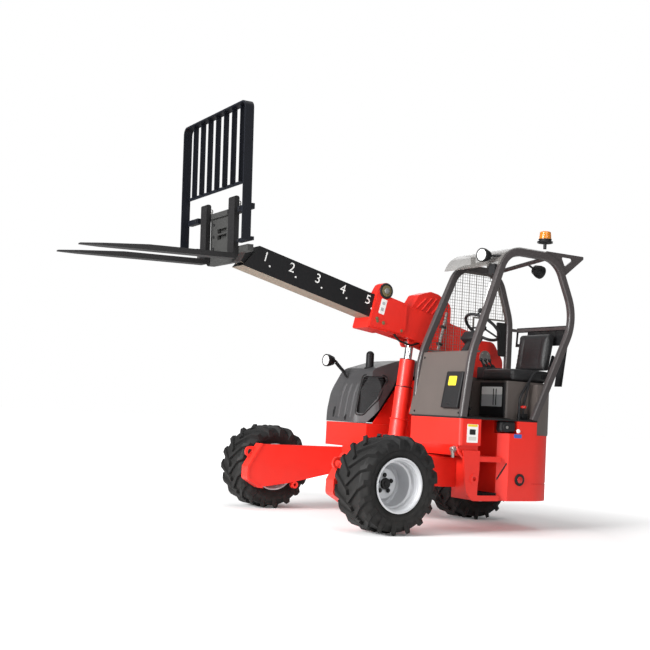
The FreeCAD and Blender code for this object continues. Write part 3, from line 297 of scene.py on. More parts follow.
VINYL = finish("seat_vinyl", (0.017, 0.017, 0.018), 0.42, shade=0.8, tint_scale=12.0, relief=700.0, bump=0.25,
               dust=0.04)


# %% [markdown]
# ## Greased underside
# The wear pads ride on the inner boom's underside, which is left in primer and greased. One node
# holds the whole boom, so the paint changes by the direction of the surface.

# %% Paint of the inner boom
BOOM_BLACK = finish("boom_black_paint", (0.008, 0.008, 0.009), 0.42, shade=0.75, dust=0.0, ior=1.35)
bt = BOOM_BLACK.node_tree
face = node(bt, "ShaderNodeTexCoord")
split = node(bt, "ShaderNodeSeparateXYZ")
below = node(bt, "ShaderNodeMath", {1: -0.5}, operation="LESS_THAN")
primer = node(bt, "ShaderNodeMix", {"B": (0.30, 0.25, 0.19, 1.0)}, data_type="RGBA")
base = bt.nodes["Principled BSDF"].inputs["Base Color"]
painted_side = base.links[0].from_socket
link(bt, (face, "Normal", split, "Vector"), (split, "Z", below, 0), (below, "Value", primer, "Factor"))
bt.links.new(painted_side, primer.inputs["A"])
bt.links.new(primer.outputs["Result"], base)


# %% [markdown]
# ## Clear parts
# The roof sheet is smoked polycarbonate, half clear over a grey body. The beacon and the tail
# lamps are the same plastic, dyed. Alpha is used for the thin sheet because a thin sheet bends
# no light, and transmission for the thick lenses.

# %% Clear finishes
def clear_finish(name, colour, roughness, transmission, alpha=1.0):
    made = bpy.data.materials.new(name)
    made.use_nodes = True
    tree = made.node_tree
    shader = tree.nodes["Principled BSDF"]
    tint = node(tree, "ShaderNodeGroup",
                {"Color": (*colour, 1.0), "Shade": 0.85, "Scale": 3.0}, node_tree=TINT)
    link(tree, (tint, "Color", shader, "Base Color"))
    shader.inputs["Roughness"].default_value = roughness
    shader.inputs["Transmission Weight"].default_value = transmission
    shader.inputs["Alpha"].default_value = alpha
    return made


SMOKED = clear_finish("smoked_roof", (0.2, 0.19, 0.18), 0.1, 0.0, 0.5)
AMBER = clear_finish("amber_lens", (1.0, 0.36, 0.03), 0.15, 0.55)
RED_LENS = clear_finish("red_lens", (0.75, 0.02, 0.02), 0.2, 0.3)


# %% [markdown]
# ## Paint on the solids
# Each solid takes one finish, as a part comes out of the paint shop. The table goes from the
# finish to its nodes, which is shorter and easier to check than one line for each node.

# %% Paint the CAD nodes
WHEELS = ("front_left", "front_right", "rear")
PAINT_GROUPS = (
    (RED, ("main_frame", "straddle_arm_left", "straddle_arm_right", "step_frame", "counterweight_left",
           "body_right", "boom_outer", "boom_cover", "lift_barrel", "lift_stage_low", "lift_stage_top",
           "rear_yoke")),
    (TAUPE, ("cab_front", "seat_base", "rear_cover", "side_panel")),
    (PLASTIC, ("control_panel", "beacon_base", "steering_column", "steering_wheel", "control_levers",
               "document_box", "work_lamps", "hood_lamp", "tank_cap", "tail_lamps", "hood_grille")),
    (BLACK, ("rear_panel", "seat_frame", "grab_rail", "hood_stack")),
    (CARRIAGE_GREY, ("engine_block", "cab_floor")),
    (VINYL, ("seat_cushion", "seat_back")),
    (RUBBER, tuple("tyre_" + wheel for wheel in WHEELS)),
    (RIM_SILVER, tuple("rim_" + wheel for wheel in WHEELS)),
    (ZINC, ("boom_pivot_pin",)), (CHROME, ("lift_rod",)), (GUARD_GREY, ("guard_frame",)),
    (WIRE, ("guard_mesh",)), (SMOKED, ("roof_sheet",)), (RUBBER_TRIM, ("side_pad",)), (AMBER, ("beacon",)),
    (HOOD_GREY, ("hood_shell",)), (BOOM_BLACK, ("boom_inner",)), (PLATE_GREY, ("carriage",)),
    (FORK_STEEL, ("forks",)), (NAVY, ("backrest",)),
)
PAINTED = {cad_name: paint for paint, cad_names in PAINT_GROUPS for cad_name in cad_names}
for cad_name, cad_object in NODES.items():
    if not cad_object.material_slots:
        cad_object.data.materials.append(PAINTED[cad_name])
    for cad_slot in cad_object.material_slots:
        cad_slot.material = PAINTED[cad_name]
print("painted", len(PAINTED))


# %% [markdown]
# ## Making pieces
# Each added piece is a bmesh shaped by operators, cleaned, and turned into one object whose
# place is in its mesh. Positions are easiest to read from the front axle, so one helper turns
# axle distances into the model's frame. Another closes every piece the same way: weld, point the
# faces outwards, smooth the gentle angles, paint, and tie to a body, which is the chassis unless
# another is named.

# %% Piece helpers
FRONT, LEFT, UP = Vector((1, 0, 0)), Vector((0, 1, 0)), Vector((0, 0, 1))


def middle_of(cad_name):
    low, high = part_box(cad_name)
    return (low + high) / 2


AXLE_X = middle_of("rim_front_left").x


def from_axle(x, y, z):
    return Vector((x + AXLE_X, y, z))


def aimed(place, direction, spin=0.0):
    """Matrix that stands a shape's +Z along direction at place."""
    return Matrix.Translation(place) @ Vector(direction).to_track_quat("Z", "Y").to_matrix().to_4x4() \
        @ Matrix.Rotation(spin, 4, "Z")


def turned(place, degrees, axis="Y"):
    """Matrix that turns a shape about one axis and moves it to place."""
    return Matrix.Translation(place) @ Matrix.Rotation(math.radians(degrees), 4, axis)


def framed(place, across, up, out):
    """Matrix that maps X, Y and Z to three directions at place."""
    return Matrix.Translation(place) @ Matrix((across, up, out)).transposed().to_4x4()


def place_mesh(name, mesh, paint, body, sharp_from=None):
    """Smooth and paint a mesh, make it an object and tie it to a body."""
    if sharp_from is not None:
        for face in mesh.polygons:
            face.use_smooth = True
        mesh.set_sharp_from_angle(angle=math.radians(sharp_from))
    mesh.materials.clear()
    mesh.materials.append(paint)
    made = bpy.data.objects.new(name, mesh)
    bpy.context.scene.collection.objects.link(made)
    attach(made, body)
    return made


def close_piece(name, bm, paint, body="chassis"):
    bmesh.ops.remove_doubles(bm, verts=bm.verts, dist=1e-6)
    bmesh.ops.recalc_face_normals(bm, faces=bm.faces)
    mesh = bpy.data.meshes.new(name)
    bm.to_mesh(mesh)
    bm.free()
    return place_mesh(name, mesh, paint, body, 32.0)


def mesh_of(curve):
    """A curve's shape as a mesh."""
    loose = bpy.data.objects.new(curve.name + "_curve", curve)
    bpy.context.scene.collection.objects.link(loose)
    bpy.context.view_layer.update()
    mesh = bpy.data.meshes.new_from_object(loose.evaluated_get(bpy.context.evaluated_depsgraph_get()))
    bpy.data.objects.remove(loose)
    return mesh


def top_edges(made, matrix, height):
    """The edges of a new shape that lie in its upper face."""
    axis = matrix.to_3x3() @ UP
    return list({e for v in made["verts"] for e in v.link_edges
                 if all((w.co - matrix.translation).dot(axis) > height * 0.99 for w in e.verts)})


def rounded(bm, edges, offset, segments=3, clamp=False):
    bmesh.ops.bevel(bm, geom=edges, offset=offset, segments=segments, profile=0.5, affect="EDGES",
                    material=-1, clamp_overlap=clamp)


def add_disc(bm, matrix, radius, height, segments=32, top=None, rim=0.0):
    """A round plug, base at the matrix's origin, its upper rim rounded by rim."""
    made = bmesh.ops.create_cone(bm, cap_ends=True, segments=segments, radius1=radius,
                                 radius2=radius if top is None else top, depth=height,
                                 matrix=matrix @ Matrix.Translation((0, 0, height / 2)))
    if rim:
        rounded(bm, top_edges(made, matrix, height), rim)


def add_hex_bolt(bm, matrix, across, height):
    """Washer and chamfered hexagon head."""
    add_disc(bm, matrix, across * 0.75, height * 0.22, 20)
    corner = across / 1.732
    made = bmesh.ops.create_cone(bm, cap_ends=True, segments=6, radius1=corner, radius2=corner, depth=height,
                                 matrix=matrix @ Matrix.Translation((0, 0, height / 2)))
    rounded(bm, top_edges(made, matrix, height), height * 0.15, 1)


def add_block(bm, low, high, edge, matrix=None, segments=2):
    """A box between two corners with every edge rounded by edge."""
    size = Vector(high) - Vector(low)
    middle = (Vector(high) + Vector(low)) / 2
    place = (matrix or Matrix.Identity(4)) @ Matrix.Translation(middle)
    made = bmesh.ops.create_cube(bm, size=1.0, matrix=place @ Matrix.Diagonal((*size, 1.0)))
    rounded(bm, list({e for v in made["verts"] for e in v.link_edges}), edge, segments, True)


def add_slab(bm, low, high, edge, segments=2):
    """A block that stands square to the machine, its corners given from the axle."""
    add_block(bm, from_axle(*low), from_axle(*high), edge, None, segments)


def add_ring(bm, matrix, radius, wire, around=64, about=10):
    """A torus: a small circle carried round the matrix's Z axis."""
    start = matrix @ Matrix.Translation((radius, 0, 0)) @ Matrix.Rotation(math.pi / 2, 4, "X")
    circle = bmesh.ops.create_circle(bm, segments=about, radius=wire, matrix=start)
    edges = list({e for v in circle["verts"] for e in v.link_edges})
    bmesh.ops.spin(bm, geom=circle["verts"] + edges, cent=matrix.translation, axis=matrix.to_3x3() @ UP,
                   angle=2 * math.pi, steps=around, use_merge=True)


def lay_disc(name, place, direction, radius, height, paint, body="chassis", segments=32, top=None, rim=0.0):
    """A piece that is one round plug."""
    bm = bmesh.new()
    add_disc(bm, aimed(place, direction), radius, height, segments, top, rim)
    return close_piece(name, bm, paint, body)


print("front axle at x", round(AXLE_X, 4))


# %% [markdown]
# ## Wheels
# Each rim is held by five black nuts round a black hub cap, and its barrel is stepped. The tyre
# carries a thin moulded ring on each sidewall and a second one where the tread ends, whose paler
# rubber is a painted sheen on the tyre's shoulder. The nuts are hexagon heads on washers, and
# every ring is a circle spun round the axle.

# %% Wheels
DISH = -0.058
NUTS, NUT_CIRCLE = 5, 0.066
# The second ring is paler rubber, a painted sheen where the tread meets the sidewall.
TYRE_RINGS = (("sidewall_ring_", 0.262, 0.010, RUBBER), ("tread_sheen_ring_", 0.296, 0.012, RUBBER_PAINTED_SHEEN))
RIM_STEPS = ((0.184, 0.12), (0.181, 0.06), (0.179, 0.01))
for wheel, outward in zip(WHEELS, (1.0, -1.0, 1.0)):
    body = "wheel_" + wheel
    centre, facing = middle_of("rim_" + wheel), LEFT * outward
    nuts = bmesh.new()
    for step in range(NUTS):
        angle = math.radians(360 / NUTS * step + 18)
        spot = centre + facing * (DISH + 0.0295) + Vector((math.cos(angle), 0, math.sin(angle))) * NUT_CIRCLE
        add_hex_bolt(nuts, aimed(spot, facing), 0.024, 0.014)
    close_piece("wheel_nuts_" + wheel, nuts, BLACK, body)
    cap = bmesh.new()
    add_disc(cap, aimed(centre + facing * (DISH + 0.0415), facing), 0.046, 0.016, 40, top=0.04, rim=0.005)
    add_disc(cap, aimed(centre + facing * (DISH + 0.057), facing), 0.022, 0.01, 32, rim=0.004)
    close_piece("hub_cap_" + wheel, cap, BLACK, body)
    tyre_low, tyre_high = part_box("tyre_" + wheel)
    half_width = (tyre_high.y - tyre_low.y) / 2
    for ring_name, radius, inset, paint in TYRE_RINGS:
        rings = bmesh.new()
        for side in (-1, 1):
            add_ring(rings, aimed(centre + LEFT * side * (half_width - inset), LEFT), radius, 0.003, 72, 6)
        close_piece(ring_name + wheel, rings, paint, body)
    rim_steps = bmesh.new()
    for radius, out in RIM_STEPS:
        add_ring(rim_steps, aimed(centre + facing * out, LEFT), radius, 0.004, 72, 6)
    close_piece("rim_steps_" + wheel, rim_steps, RIM_SILVER, body)
    lay_disc("valve_" + wheel, centre + FRONT * 0.155 + facing * 0.02, facing + FRONT * 0.25, 0.006, 0.05,
             BLACK, body, 12, top=0.004)
print("wheel centre to sidewall", round(half_width, 3))


# %% [markdown]
# ## Marks on the boom
# White figures and dots along the extension tell the driver how far it is out. Text is a curve,
# so it is turned into a mesh before it is put in place, and given a little thickness so that it
# lies on the steel like vinyl. The figures stand square to the boom, not to the ground.

# %% Reach marks
BOOM_SLOPE = 13.5
climb = turned((0, 0, 0), -BOOM_SLOPE).to_3x3()
ALONG, SQUARE = climb @ FRONT, climb @ UP


def lay_text(name, words, size, matrix, paint, body, thick):
    curve = bpy.data.curves.new(name, "FONT")
    curve.body = words
    curve.size = size
    curve.extrude = thick / 2
    curve.align_x = "CENTER"
    curve.align_y = "CENTER"
    mesh = mesh_of(curve)
    mesh.transform(matrix)
    return place_mesh(name, mesh, paint, body)


MARK_X = (0.699, 0.447, 0.188, -0.069, -0.333)
MARK_FOOT_X, MARK_FOOT_Z, MARK_SLOPE = -0.39, 1.887, 0.2401
INNER_FACE = 0.1
FILM = 0.0002      # thinner than the inner boom's play in the outer one
for side, letter in ((1, "left"), (-1, "right")):
    facing = LEFT * side
    dots = bmesh.new()
    for number, x in enumerate(MARK_X, start=1):
        spot = from_axle(x, side * (INNER_FACE + 0.00015), MARK_FOOT_Z + MARK_SLOPE * (x - MARK_FOOT_X))
        lay_text("reach_" + letter + "_" + str(number), str(number), 0.115,
                 framed(spot, -ALONG * side, SQUARE, facing), LABEL_WHITE, "boom_extension", FILM)
        add_disc(dots, aimed(spot - SQUARE * 0.06 - ALONG * 0.055, facing), 0.008, FILM / 2, 20)
    close_piece("reach_dots_" + letter, dots, LABEL_WHITE, "boom_extension")
print("marks", len(MARK_X))


# %% [markdown]
# ## Tubes, labels and surface finding
# Rails, seals, piping and hoses are all a round bar carried along a bent path. A curve with a
# bevel does that well, and it is turned into a mesh at once, so that every piece ends up the
# same kind of object. The path's corners are rounded by formula, as a pipe bender would. Trim
# that lies on a curved skin finds it by casting rays, so it still fits if the skin changes.

# %% Tube, label and ray helpers
def bent(points, radius, steps=6):
    """The same path with every inner corner replaced by an arc of that radius."""
    points = [Vector(p) for p in points]
    route = [points[0]]
    for before, here, after in zip(points, points[1:], points[2:]):
        back, ahead = (before - here).normalized(), (after - here).normalized()
        half = back.angle(ahead) / 2
        reach = min(radius / math.tan(half), (before - here).length * 0.49, (after - here).length * 0.49)
        start, end = here + back * reach, here + ahead * reach
        for step in range(steps + 1):
            t = step / steps
            route.append(start * (1 - t) ** 2 + here * 2 * t * (1 - t) + end * t ** 2)
    return route + [points[-1]]


def lay_tube(name, points, radius, paint, body="chassis", closed=False, sides=3):
    curve = bpy.data.curves.new(name, "CURVE")
    curve.dimensions = "3D"
    curve.bevel_depth = radius
    curve.bevel_resolution = sides
    curve.use_fill_caps = not closed
    spline = curve.splines.new("POLY")
    spline.points.add(len(points) - 1)
    for knot, place in zip(spline.points, points):
        knot.co = (*place, 1.0)
    spline.use_cyclic_u = closed
    return place_mesh(name, mesh_of(curve), paint, body, 40.0)


CARD_THICK, CARD_CORNER = 0.0008, 0.006


def lay_label(name, centre, across, up, width, height, paint, body="chassis"):
    """A sticker: a thin plate with rounded corners, its face along across x up."""
    out = across.cross(up)
    bm = bmesh.new()
    cube = bmesh.ops.create_cube(bm, size=1.0, matrix=framed(centre, across, up, out)
                                 @ Matrix.Diagonal((width, height, CARD_THICK, 1.0)))
    posts = [e for e in {e for v in cube["verts"] for e in v.link_edges}
             if abs((e.verts[0].co - e.verts[1].co).normalized().dot(out)) > 0.9]
    rounded(bm, posts, min(CARD_CORNER, width * 0.3, height * 0.3))
    return close_piece(name, bm, paint, body)


def skin_of(cad_name):
    cad = NODES[cad_name]
    return BVHTree.FromPolygons([cad.matrix_world @ v.co for v in cad.data.vertices],
                                [tuple(p.vertices) for p in cad.data.polygons])


def on_skin(tree, start, direction, lift=0.0):
    """Where a ray from start meets the skin, moved back towards start by lift."""
    hit = tree.ray_cast(Vector(start), Vector(direction).normalized())[0]
    return None if hit is None else hit - Vector(direction).normalized() * lift


def along_skin(tree, starts, direction, lift):
    """The points where rays from the starts meet the skin."""
    met = [on_skin(tree, start, direction, lift) for start in starts]
    return [place for place in met if place is not None]


print("helpers ready")


# %% [markdown]
# ## Seat
# The seat is foam under black vinyl. Each cushion starts from its CAD form, is given an even
# mesh, and is blown up a little as cloth with its seam lines held, so the vinyl bulges between
# the channels as real upholstery does. Piping covers the side seam afterwards.

# %% Stuffed cushions
BLOW_FRAMES = 20
BULGE, EVEN_MESH = 0.014, 0.006


def stuffed(name, source, is_seam):
    cad = NODES[source]
    mesh = cad.data.copy()
    mesh.transform(cad.matrix_world)
    welded = bmesh.new()
    welded.from_mesh(mesh)
    bmesh.ops.remove_doubles(welded, verts=welded.verts, dist=1e-5)
    welded.to_mesh(mesh)
    welded.free()
    foam = bpy.data.objects.new(name, mesh)
    bpy.context.scene.collection.objects.link(foam)
    even = foam.modifiers.new("even_mesh", "REMESH")
    even.mode = "VOXEL"
    even.voxel_size = EVEN_MESH
    bpy.context.view_layer.update()
    foam.data = bpy.data.meshes.new_from_object(foam.evaluated_get(bpy.context.evaluated_depsgraph_get()))
    foam.modifiers.clear()
    rest = [v.co.copy() for v in foam.data.vertices]
    held = foam.vertex_groups.new(name="seams")
    held.add([i for i, place in enumerate(rest) if is_seam(place)], 1.0, "REPLACE")
    vinyl = foam.modifiers.new("vinyl", "CLOTH")
    vinyl.settings.vertex_group_mass = "seams"
    vinyl.settings.quality = 5
    vinyl.settings.use_pressure = True
    vinyl.settings.uniform_pressure_force = 4.0
    vinyl.settings.effector_weights.gravity = 0.0
    vinyl.point_cache.frame_start = 1
    vinyl.point_cache.frame_end = BLOW_FRAMES
    for frame_number in range(1, BLOW_FRAMES + 1):
        bpy.context.scene.frame_set(frame_number)
    blown = foam.evaluated_get(bpy.context.evaluated_depsgraph_get()).to_mesh()
    moved = [v.co.copy() for v in blown.vertices]
    foam.modifiers.clear()
    bpy.context.scene.frame_set(1)
    for vertex, start, end in zip(foam.data.vertices, rest, moved):
        way = end - start
        vertex.co = start + way * min(1.0, BULGE / max(way.length, 1e-9))
    soft = foam.modifiers.new("smooth", "SUBSURF")
    soft.levels = 1
    soft.render_levels = 1
    for face in foam.data.polygons:
        face.use_smooth = True
    foam.data.materials.clear()
    foam.data.materials.append(VINYL)
    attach(foam, "chassis")
    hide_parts(source)
    return foam


base_low, base_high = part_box("seat_cushion")
back_low, back_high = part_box("seat_back")
cushion_waist = (base_low.z + base_high.z) / 2
CHANNEL_HALF, CUSHION_PITCH, BACK_PITCH = 0.0035, 0.085, 0.075
BOLSTER = 0.075


def in_groove(y, offset, low, high):
    """On a channel, which is offset from its middle, or on the seam of a bolster."""
    channel = abs(offset) < CHANNEL_HALF and low.y + BOLSTER < y < high.y - BOLSTER
    return channel or min(abs(y - low.y - BOLSTER), abs(y - high.y + BOLSTER)) < CHANNEL_HALF


def cushion_seam(p):
    groove = in_groove(p.y, (p.x - base_low.x) % CUSHION_PITCH - 0.05, base_low, base_high)
    side_seam = abs(p.z - cushion_waist) < CHANNEL_HALF
    return (p.z > base_high.z - 0.012 and groove) or p.z < base_low.z + 0.01 or side_seam


def back_middle(z):
    """Middle of the seat back's thickness at a height."""
    return from_axle(-1.709 - 0.175 * (z - 1.372), 0, 0).x


def back_seam(p):
    groove = in_groove(p.y, (p.z - back_low.z) % BACK_PITCH - 0.04, back_low, back_high)
    return (p.x > back_middle(p.z) + 0.02 and groove) or p.x < back_middle(p.z) - 0.028


stuffed("seat_cushion_vinyl", "seat_cushion", cushion_seam)
stuffed("seat_back_vinyl", "seat_back", back_seam)


# %% [markdown]
# ## Piping
# Where two panels of vinyl meet, a covered cord is sewn over the seam. Here it is a thin tube,
# closed on itself, that goes round each cushion at its seam.

# %% Piping round the cushions
INSET, PIPING = 0.002, 0.004
rear_x, front_x = base_low.x + INSET, base_high.x - INSET
right_y, left_y = base_low.y + INSET, base_high.y - INSET
round_cushion = [(rear_x, 0.7), (rear_x, left_y), (front_x, left_y), (front_x, right_y), (rear_x, right_y),
                 (rear_x, 0.69)]
lay_tube("cushion_piping", bent([(x, y, cushion_waist) for x, y in round_cushion], 0.03), PIPING, VINYL,
         closed=True)
low, high = back_low.z + 0.008, back_high.z - 0.008
round_back = [(0.7, low), (back_high.y, low), (back_high.y, high), (back_low.y, high), (back_low.y, low),
              (0.69, low)]
lay_tube("back_piping", bent([(back_middle(z), y, z) for y, z in round_back], 0.02), PIPING, VINYL,
         closed=True)


# %% [markdown]
# ## Wire mesh
# The CAD mesh has every third wire. The wires between them are under three millimetres thick,
# so they are added here. Each one is cut to the mesh's outline, which is walked edge by edge to
# find where a straight line enters and leaves it.

# %% Fine wires
MESH_OUTLINE = [(-0.79, 1.486), (-1.128, 2.232), (-1.56, 2.232), (-1.722, 1.85), (-1.722, 1.822),
                (-1.33, 1.822), (-1.33, 1.486)]
WIRE_PITCH, WIRE_RADIUS, MESH_Y = 0.08 / 3, 0.0013, 0.345
WIRES_FROM_FIRST = 35      # to either side, more than the outline can hold


def spans(outline, along, value):
    """Where the line at that value crosses the outline, in pairs; along is 0 or 1."""
    found = []
    for a, b in zip(outline, outline[1:] + outline[:1]):
        if (a[along] - value) * (b[along] - value) < 0:
            t = (value - a[along]) / (b[along] - a[along])
            found.append(a[1 - along] + (b[1 - along] - a[1 - along]) * t)
    found.sort()
    return list(zip(found[::2], found[1::2]))


wires = bmesh.new()
for along, first, way in ((0, -0.86, UP), (1, 1.486, FRONT)):
    for number in range(-WIRES_FROM_FIRST, WIRES_FROM_FIRST):
        if number % 3 == 0:      # this wire is in the CAD mesh
            continue
        value = first + number * WIRE_PITCH
        for low, high in spans(MESH_OUTLINE, along, value):
            middle = (low + high) / 2
            spot = from_axle(value, MESH_Y, middle) if along == 0 else from_axle(middle, MESH_Y, value)
            bmesh.ops.create_cone(wires, cap_ends=True, segments=5, radius1=WIRE_RADIUS, radius2=WIRE_RADIUS,
                                  depth=high - low, matrix=aimed(spot, way))
close_piece("guard_mesh_wires", wires, WIRE)


# %% [markdown]
# ## Lamps
# A work lamp is a black bowl with a ribbed back, a bezel and a pale glossy lens. The ribs could
# be cut into the bowl, but rings laid round it leave the CAD solid as it is.

# %% Work lamps
WORK_LAMPS = (
    ("front", (-0.925, 0.945, 2.285), (1, 0.15, -0.05), "chassis"),
    ("rear", (-1.69, 0.75, 2.262), (-1, 0, -0.25), "chassis"),
    ("hood", (-0.54, -0.8, 1.397), (1, 0.1, 0), "hood"),
)
MOUTH = 0.0535
for which, place, direction, body in WORK_LAMPS:
    facing = Vector(direction).normalized()
    mouth = from_axle(*place) + facing * 0.05
    lay_disc("lamp_lens_" + which, mouth + facing * 0.0002, facing, 0.049, 0.004, LAMP_WHITE, body, 40,
             top=0.045, rim=0.0015)
    bezel = bmesh.new()
    add_ring(bezel, aimed(mouth + facing * 0.001, facing), MOUTH, 0.005, 48, 8)
    for step in range(5):
        place = mouth - facing * (0.034 + 0.011 * step)
        add_ring(bezel, aimed(place, facing), MOUTH - 0.0035 * step, 0.0022, 40, 6)
    close_piece("lamp_bezel_" + which, bezel, PLASTIC, body)


# %% [markdown]
# ## Beacon and tail lamps
# The beacon is a ribbed amber cap on a black collar. Its ribs are straight, so thin blocks set
# round the cap do. The tail lamps are red lenses, each a plug with a rounded rim in black rings.

# %% Beacon ribs and tail lamp lenses
beacon_foot = middle_of("beacon")
beacon_foot.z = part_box("beacon")[0].z
ribs = bmesh.new()
for degrees in range(0, 360, 15):
    angle = math.radians(degrees)
    reach = Vector((math.cos(angle), math.sin(angle), 0)) * 0.0512
    add_block(ribs, (-0.0012, -0.0015, 0.004), (0.0012, 0.0015, 0.052), 0.0005,
              turned(beacon_foot + reach, degrees, "Z") @ turned((0, 0, 0), -5.7), 1)
close_piece("beacon_ribs", ribs, AMBER)
collar = bmesh.new()
for height, radius, wire in ((0.001, 0.0535, 0.004), (-0.026, 0.064, 0.003)):
    add_ring(collar, aimed(beacon_foot + UP * height, UP), radius, wire, 48, 8)
close_piece("beacon_collar", collar, PLASTIC)

lenses = bmesh.new()
surrounds = bmesh.new()
tail_low, tail_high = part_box("tail_lamps")
tail = middle_of("tail_lamps")
for side, edge in ((1, tail_high.y), (-1, tail_low.y)):
    facing = LEFT * side
    spot = Vector((tail.x, edge, tail.z))
    add_disc(lenses, aimed(spot, facing), 0.028, 0.004, 32, rim=0.001)
    for radius in (0.031, 0.045):
        add_ring(surrounds, aimed(spot, facing), radius, 0.003, 40, 6)
close_piece("tail_lenses", lenses, RED_LENS)
close_piece("tail_surrounds", surrounds, PLASTIC)
print("lamps", len(WORK_LAMPS))


# %% [markdown]
# ## Hood dressing
# The hood is a moulded cover with a window in its bevelled corner, where warm air leaves between
# slats. The window's rubber seal is a tube whose path is found on the skin by rays. Everything in
# this cell and the next rides on the hood and lifts with it.

# %% Hood window seal and slats
hood_skin = skin_of("hood_shell")
CORNER = from_axle(-0.735, -0.43, 0)
DIAGONAL = math.sqrt(0.5)
ACROSS = Vector((DIAGONAL, -DIAGONAL, 0))
OUTWARD = Vector((DIAGONAL, DIAGONAL, 0))
WINDOW = [(0.098, 0.912), (0.028, 0.912), (-0.092, 1.055), (-0.156, 1.226), (-0.138, 1.262), (0.062, 1.262)]
window_middle = sum((Vector(corner) for corner in WINDOW), Vector((0, 0))) / len(WINDOW)


def at_corner(across, out, up):
    return CORNER + ACROSS * across + OUTWARD * out + UP * up


SEAL_WIDTH, SLAT_PITCH = 0.016, 0.019
grown = []
for u, v in WINDOW:
    away = (Vector((u, v)) - window_middle).normalized() * SEAL_WIDTH
    grown.append((u + away.x, v + away.y, 0))
start = ((grown[0][0] + grown[-1][0]) / 2, (grown[0][1] + grown[-1][1]) / 2, 0)
seal = along_skin(hood_skin, [at_corner(u, 0.3, v) for u, v, _ in bent([start] + grown + [start], 0.04, 8)],
                  -OUTWARD, 0.001)
lay_tube("window_seal", seal, 0.007, RUBBER_TRIM, "hood", closed=True)

slats = bmesh.new()
for row in range(18):
    height = 0.928 + SLAT_PITCH * row
    for low, high in spans(WINDOW, 1, height):
        add_block(slats, (low + 0.01, -0.0375, height - 0.003), (high - 0.01, -0.028, height + 0.003), 0.001,
                  turned(CORNER, -45, "Z"), 1)
close_piece("window_slats", slats, PLASTIC, "hood")


# %% [markdown]
# ## Flutes, catches and clamp
# Flutes stiffen a moulded cover, and catches hold it shut. A flute is a wide tube, sunk so far
# into the skin that only a low ridge shows. The catches are small blocks that lean with the skin.
# The exhaust's clamp and the boot behind the hood's lamp are rings in a row.

# %% Flutes, catches and exhaust clamp
for number, across in enumerate((-0.60, -0.70, -0.80)):
    starts = [from_axle(0.2, across, 0.86 + 0.024 * step) for step in range(14)]
    ridge = along_skin(hood_skin, starts, -FRONT, -0.045)
    lay_tube("hood_flute_" + str(number), ridge, 0.05, HOOD_GREY, "hood", sides=8)
catches = bmesh.new()
for across, low, high in ((-0.875, 0.865, 0.965), (-0.66, 0.84, 0.895)):
    middle = on_skin(hood_skin, from_axle(0.2, across, (low + high) / 2), -FRONT)
    lean = turned(middle, -9)
    half = (high - low) / 2
    add_block(catches, (-0.004, -0.014, -half), (0.003, 0.014, half), 0.003, lean)
    add_block(catches, (0.001, -0.006, -half * 0.4), (0.012, 0.006, half * 0.4), 0.002, lean)
close_piece("hood_catches", catches, PLASTIC, "hood")
clamp = bmesh.new()
stack = middle_of("hood_stack")
stack.z = 0
foot = on_skin(hood_skin, stack + Vector((0.045, 0, 2)), -UP)
for height, radius, wire in ((0.012, 0.041, 0.005), (0.002, 0.047, 0.007)):
    add_ring(clamp, aimed(stack + UP * (foot.z + height), UP), radius, wire, 40, 8)
close_piece("stack_clamp", clamp, PLASTIC, "hood")
boot = bmesh.new()
for step in range(9):
    t = step / 8
    place = from_axle(-0.61 - 0.1 * t, -0.8, 1.378 - 0.086 * t)
    add_ring(boot, aimed(place, (-0.1, 0, -0.086)), 0.012, 0.006, 24, 6)
close_piece("hood_lamp_boot", boot, PLASTIC, "hood")
print("seal points", len(seal))


# %% [markdown]
# ## Boom dressing
# The outer boom carries the extension's hose pulley, the wear-pad adjusters, a blank plate and
# the pressed ribs of its hose cover. The hoses to the head cross its side in a wound sleeve held
# by two clamps, and a short hose hangs below. Each of these rides on the boom.

# %% Pulley, adjusters, ribs and hose sleeve
PIVOT_X, PIVOT_Z, AXIS_UP = -1.6, 1.49, 0.07


def on_boom(along, y, up):
    """A point by its distance along the boom and up from the boom's middle."""
    return from_axle(PIVOT_X, y, PIVOT_Z) + ALONG * along + SQUARE * (up + AXIS_UP)


hub = on_boom(1.188, 0.1322, 0.163)
pulley = bmesh.new()
add_disc(pulley, aimed(hub, LEFT), 0.07, 0.006, 48, rim=0.002)
add_ring(pulley, aimed(hub + LEFT * 0.006, LEFT), 0.06, 0.007, 48, 8)
close_piece("pulley_ring", pulley, PLASTIC, "boom")
lay_disc("pulley_sheave", hub + LEFT * 0.0062, LEFT, 0.05, 0.004, BRASS, "boom", 40, rim=0.0015)
lay_disc("pulley_hub", hub + LEFT * 0.0104, LEFT, 0.026, 0.008, ZINC, "boom", rim=0.002)

adjusters = bmesh.new()
for side in (1, -1):
    for x, z in ((-0.415, 1.745), (-0.485, 1.712)):
        add_hex_bolt(adjusters, aimed(from_axle(x, side * 0.1321, z), LEFT * side), 0.022, 0.01)
    for along in (0.93, 1.2):
        add_hex_bolt(adjusters, aimed(on_boom(along, side * 0.1321, -0.12), LEFT * side), 0.018, 0.008)
close_piece("pad_adjusters", adjusters, BRASS, "boom")
lay_label("boom_plate", on_boom(1.182, 0.1325, 0.02), -ALONG, SQUARE, 0.06, 0.135, LABEL_WHITE, "boom")
for number, (up, tall) in enumerate(((0.05, 0.026), (-0.005, 0.03))):
    lay_label("boom_plate_field_" + str(number), on_boom(1.182, 0.1332, up), -ALONG, SQUARE, 0.03, tall,
              LABEL_GREY, "boom")

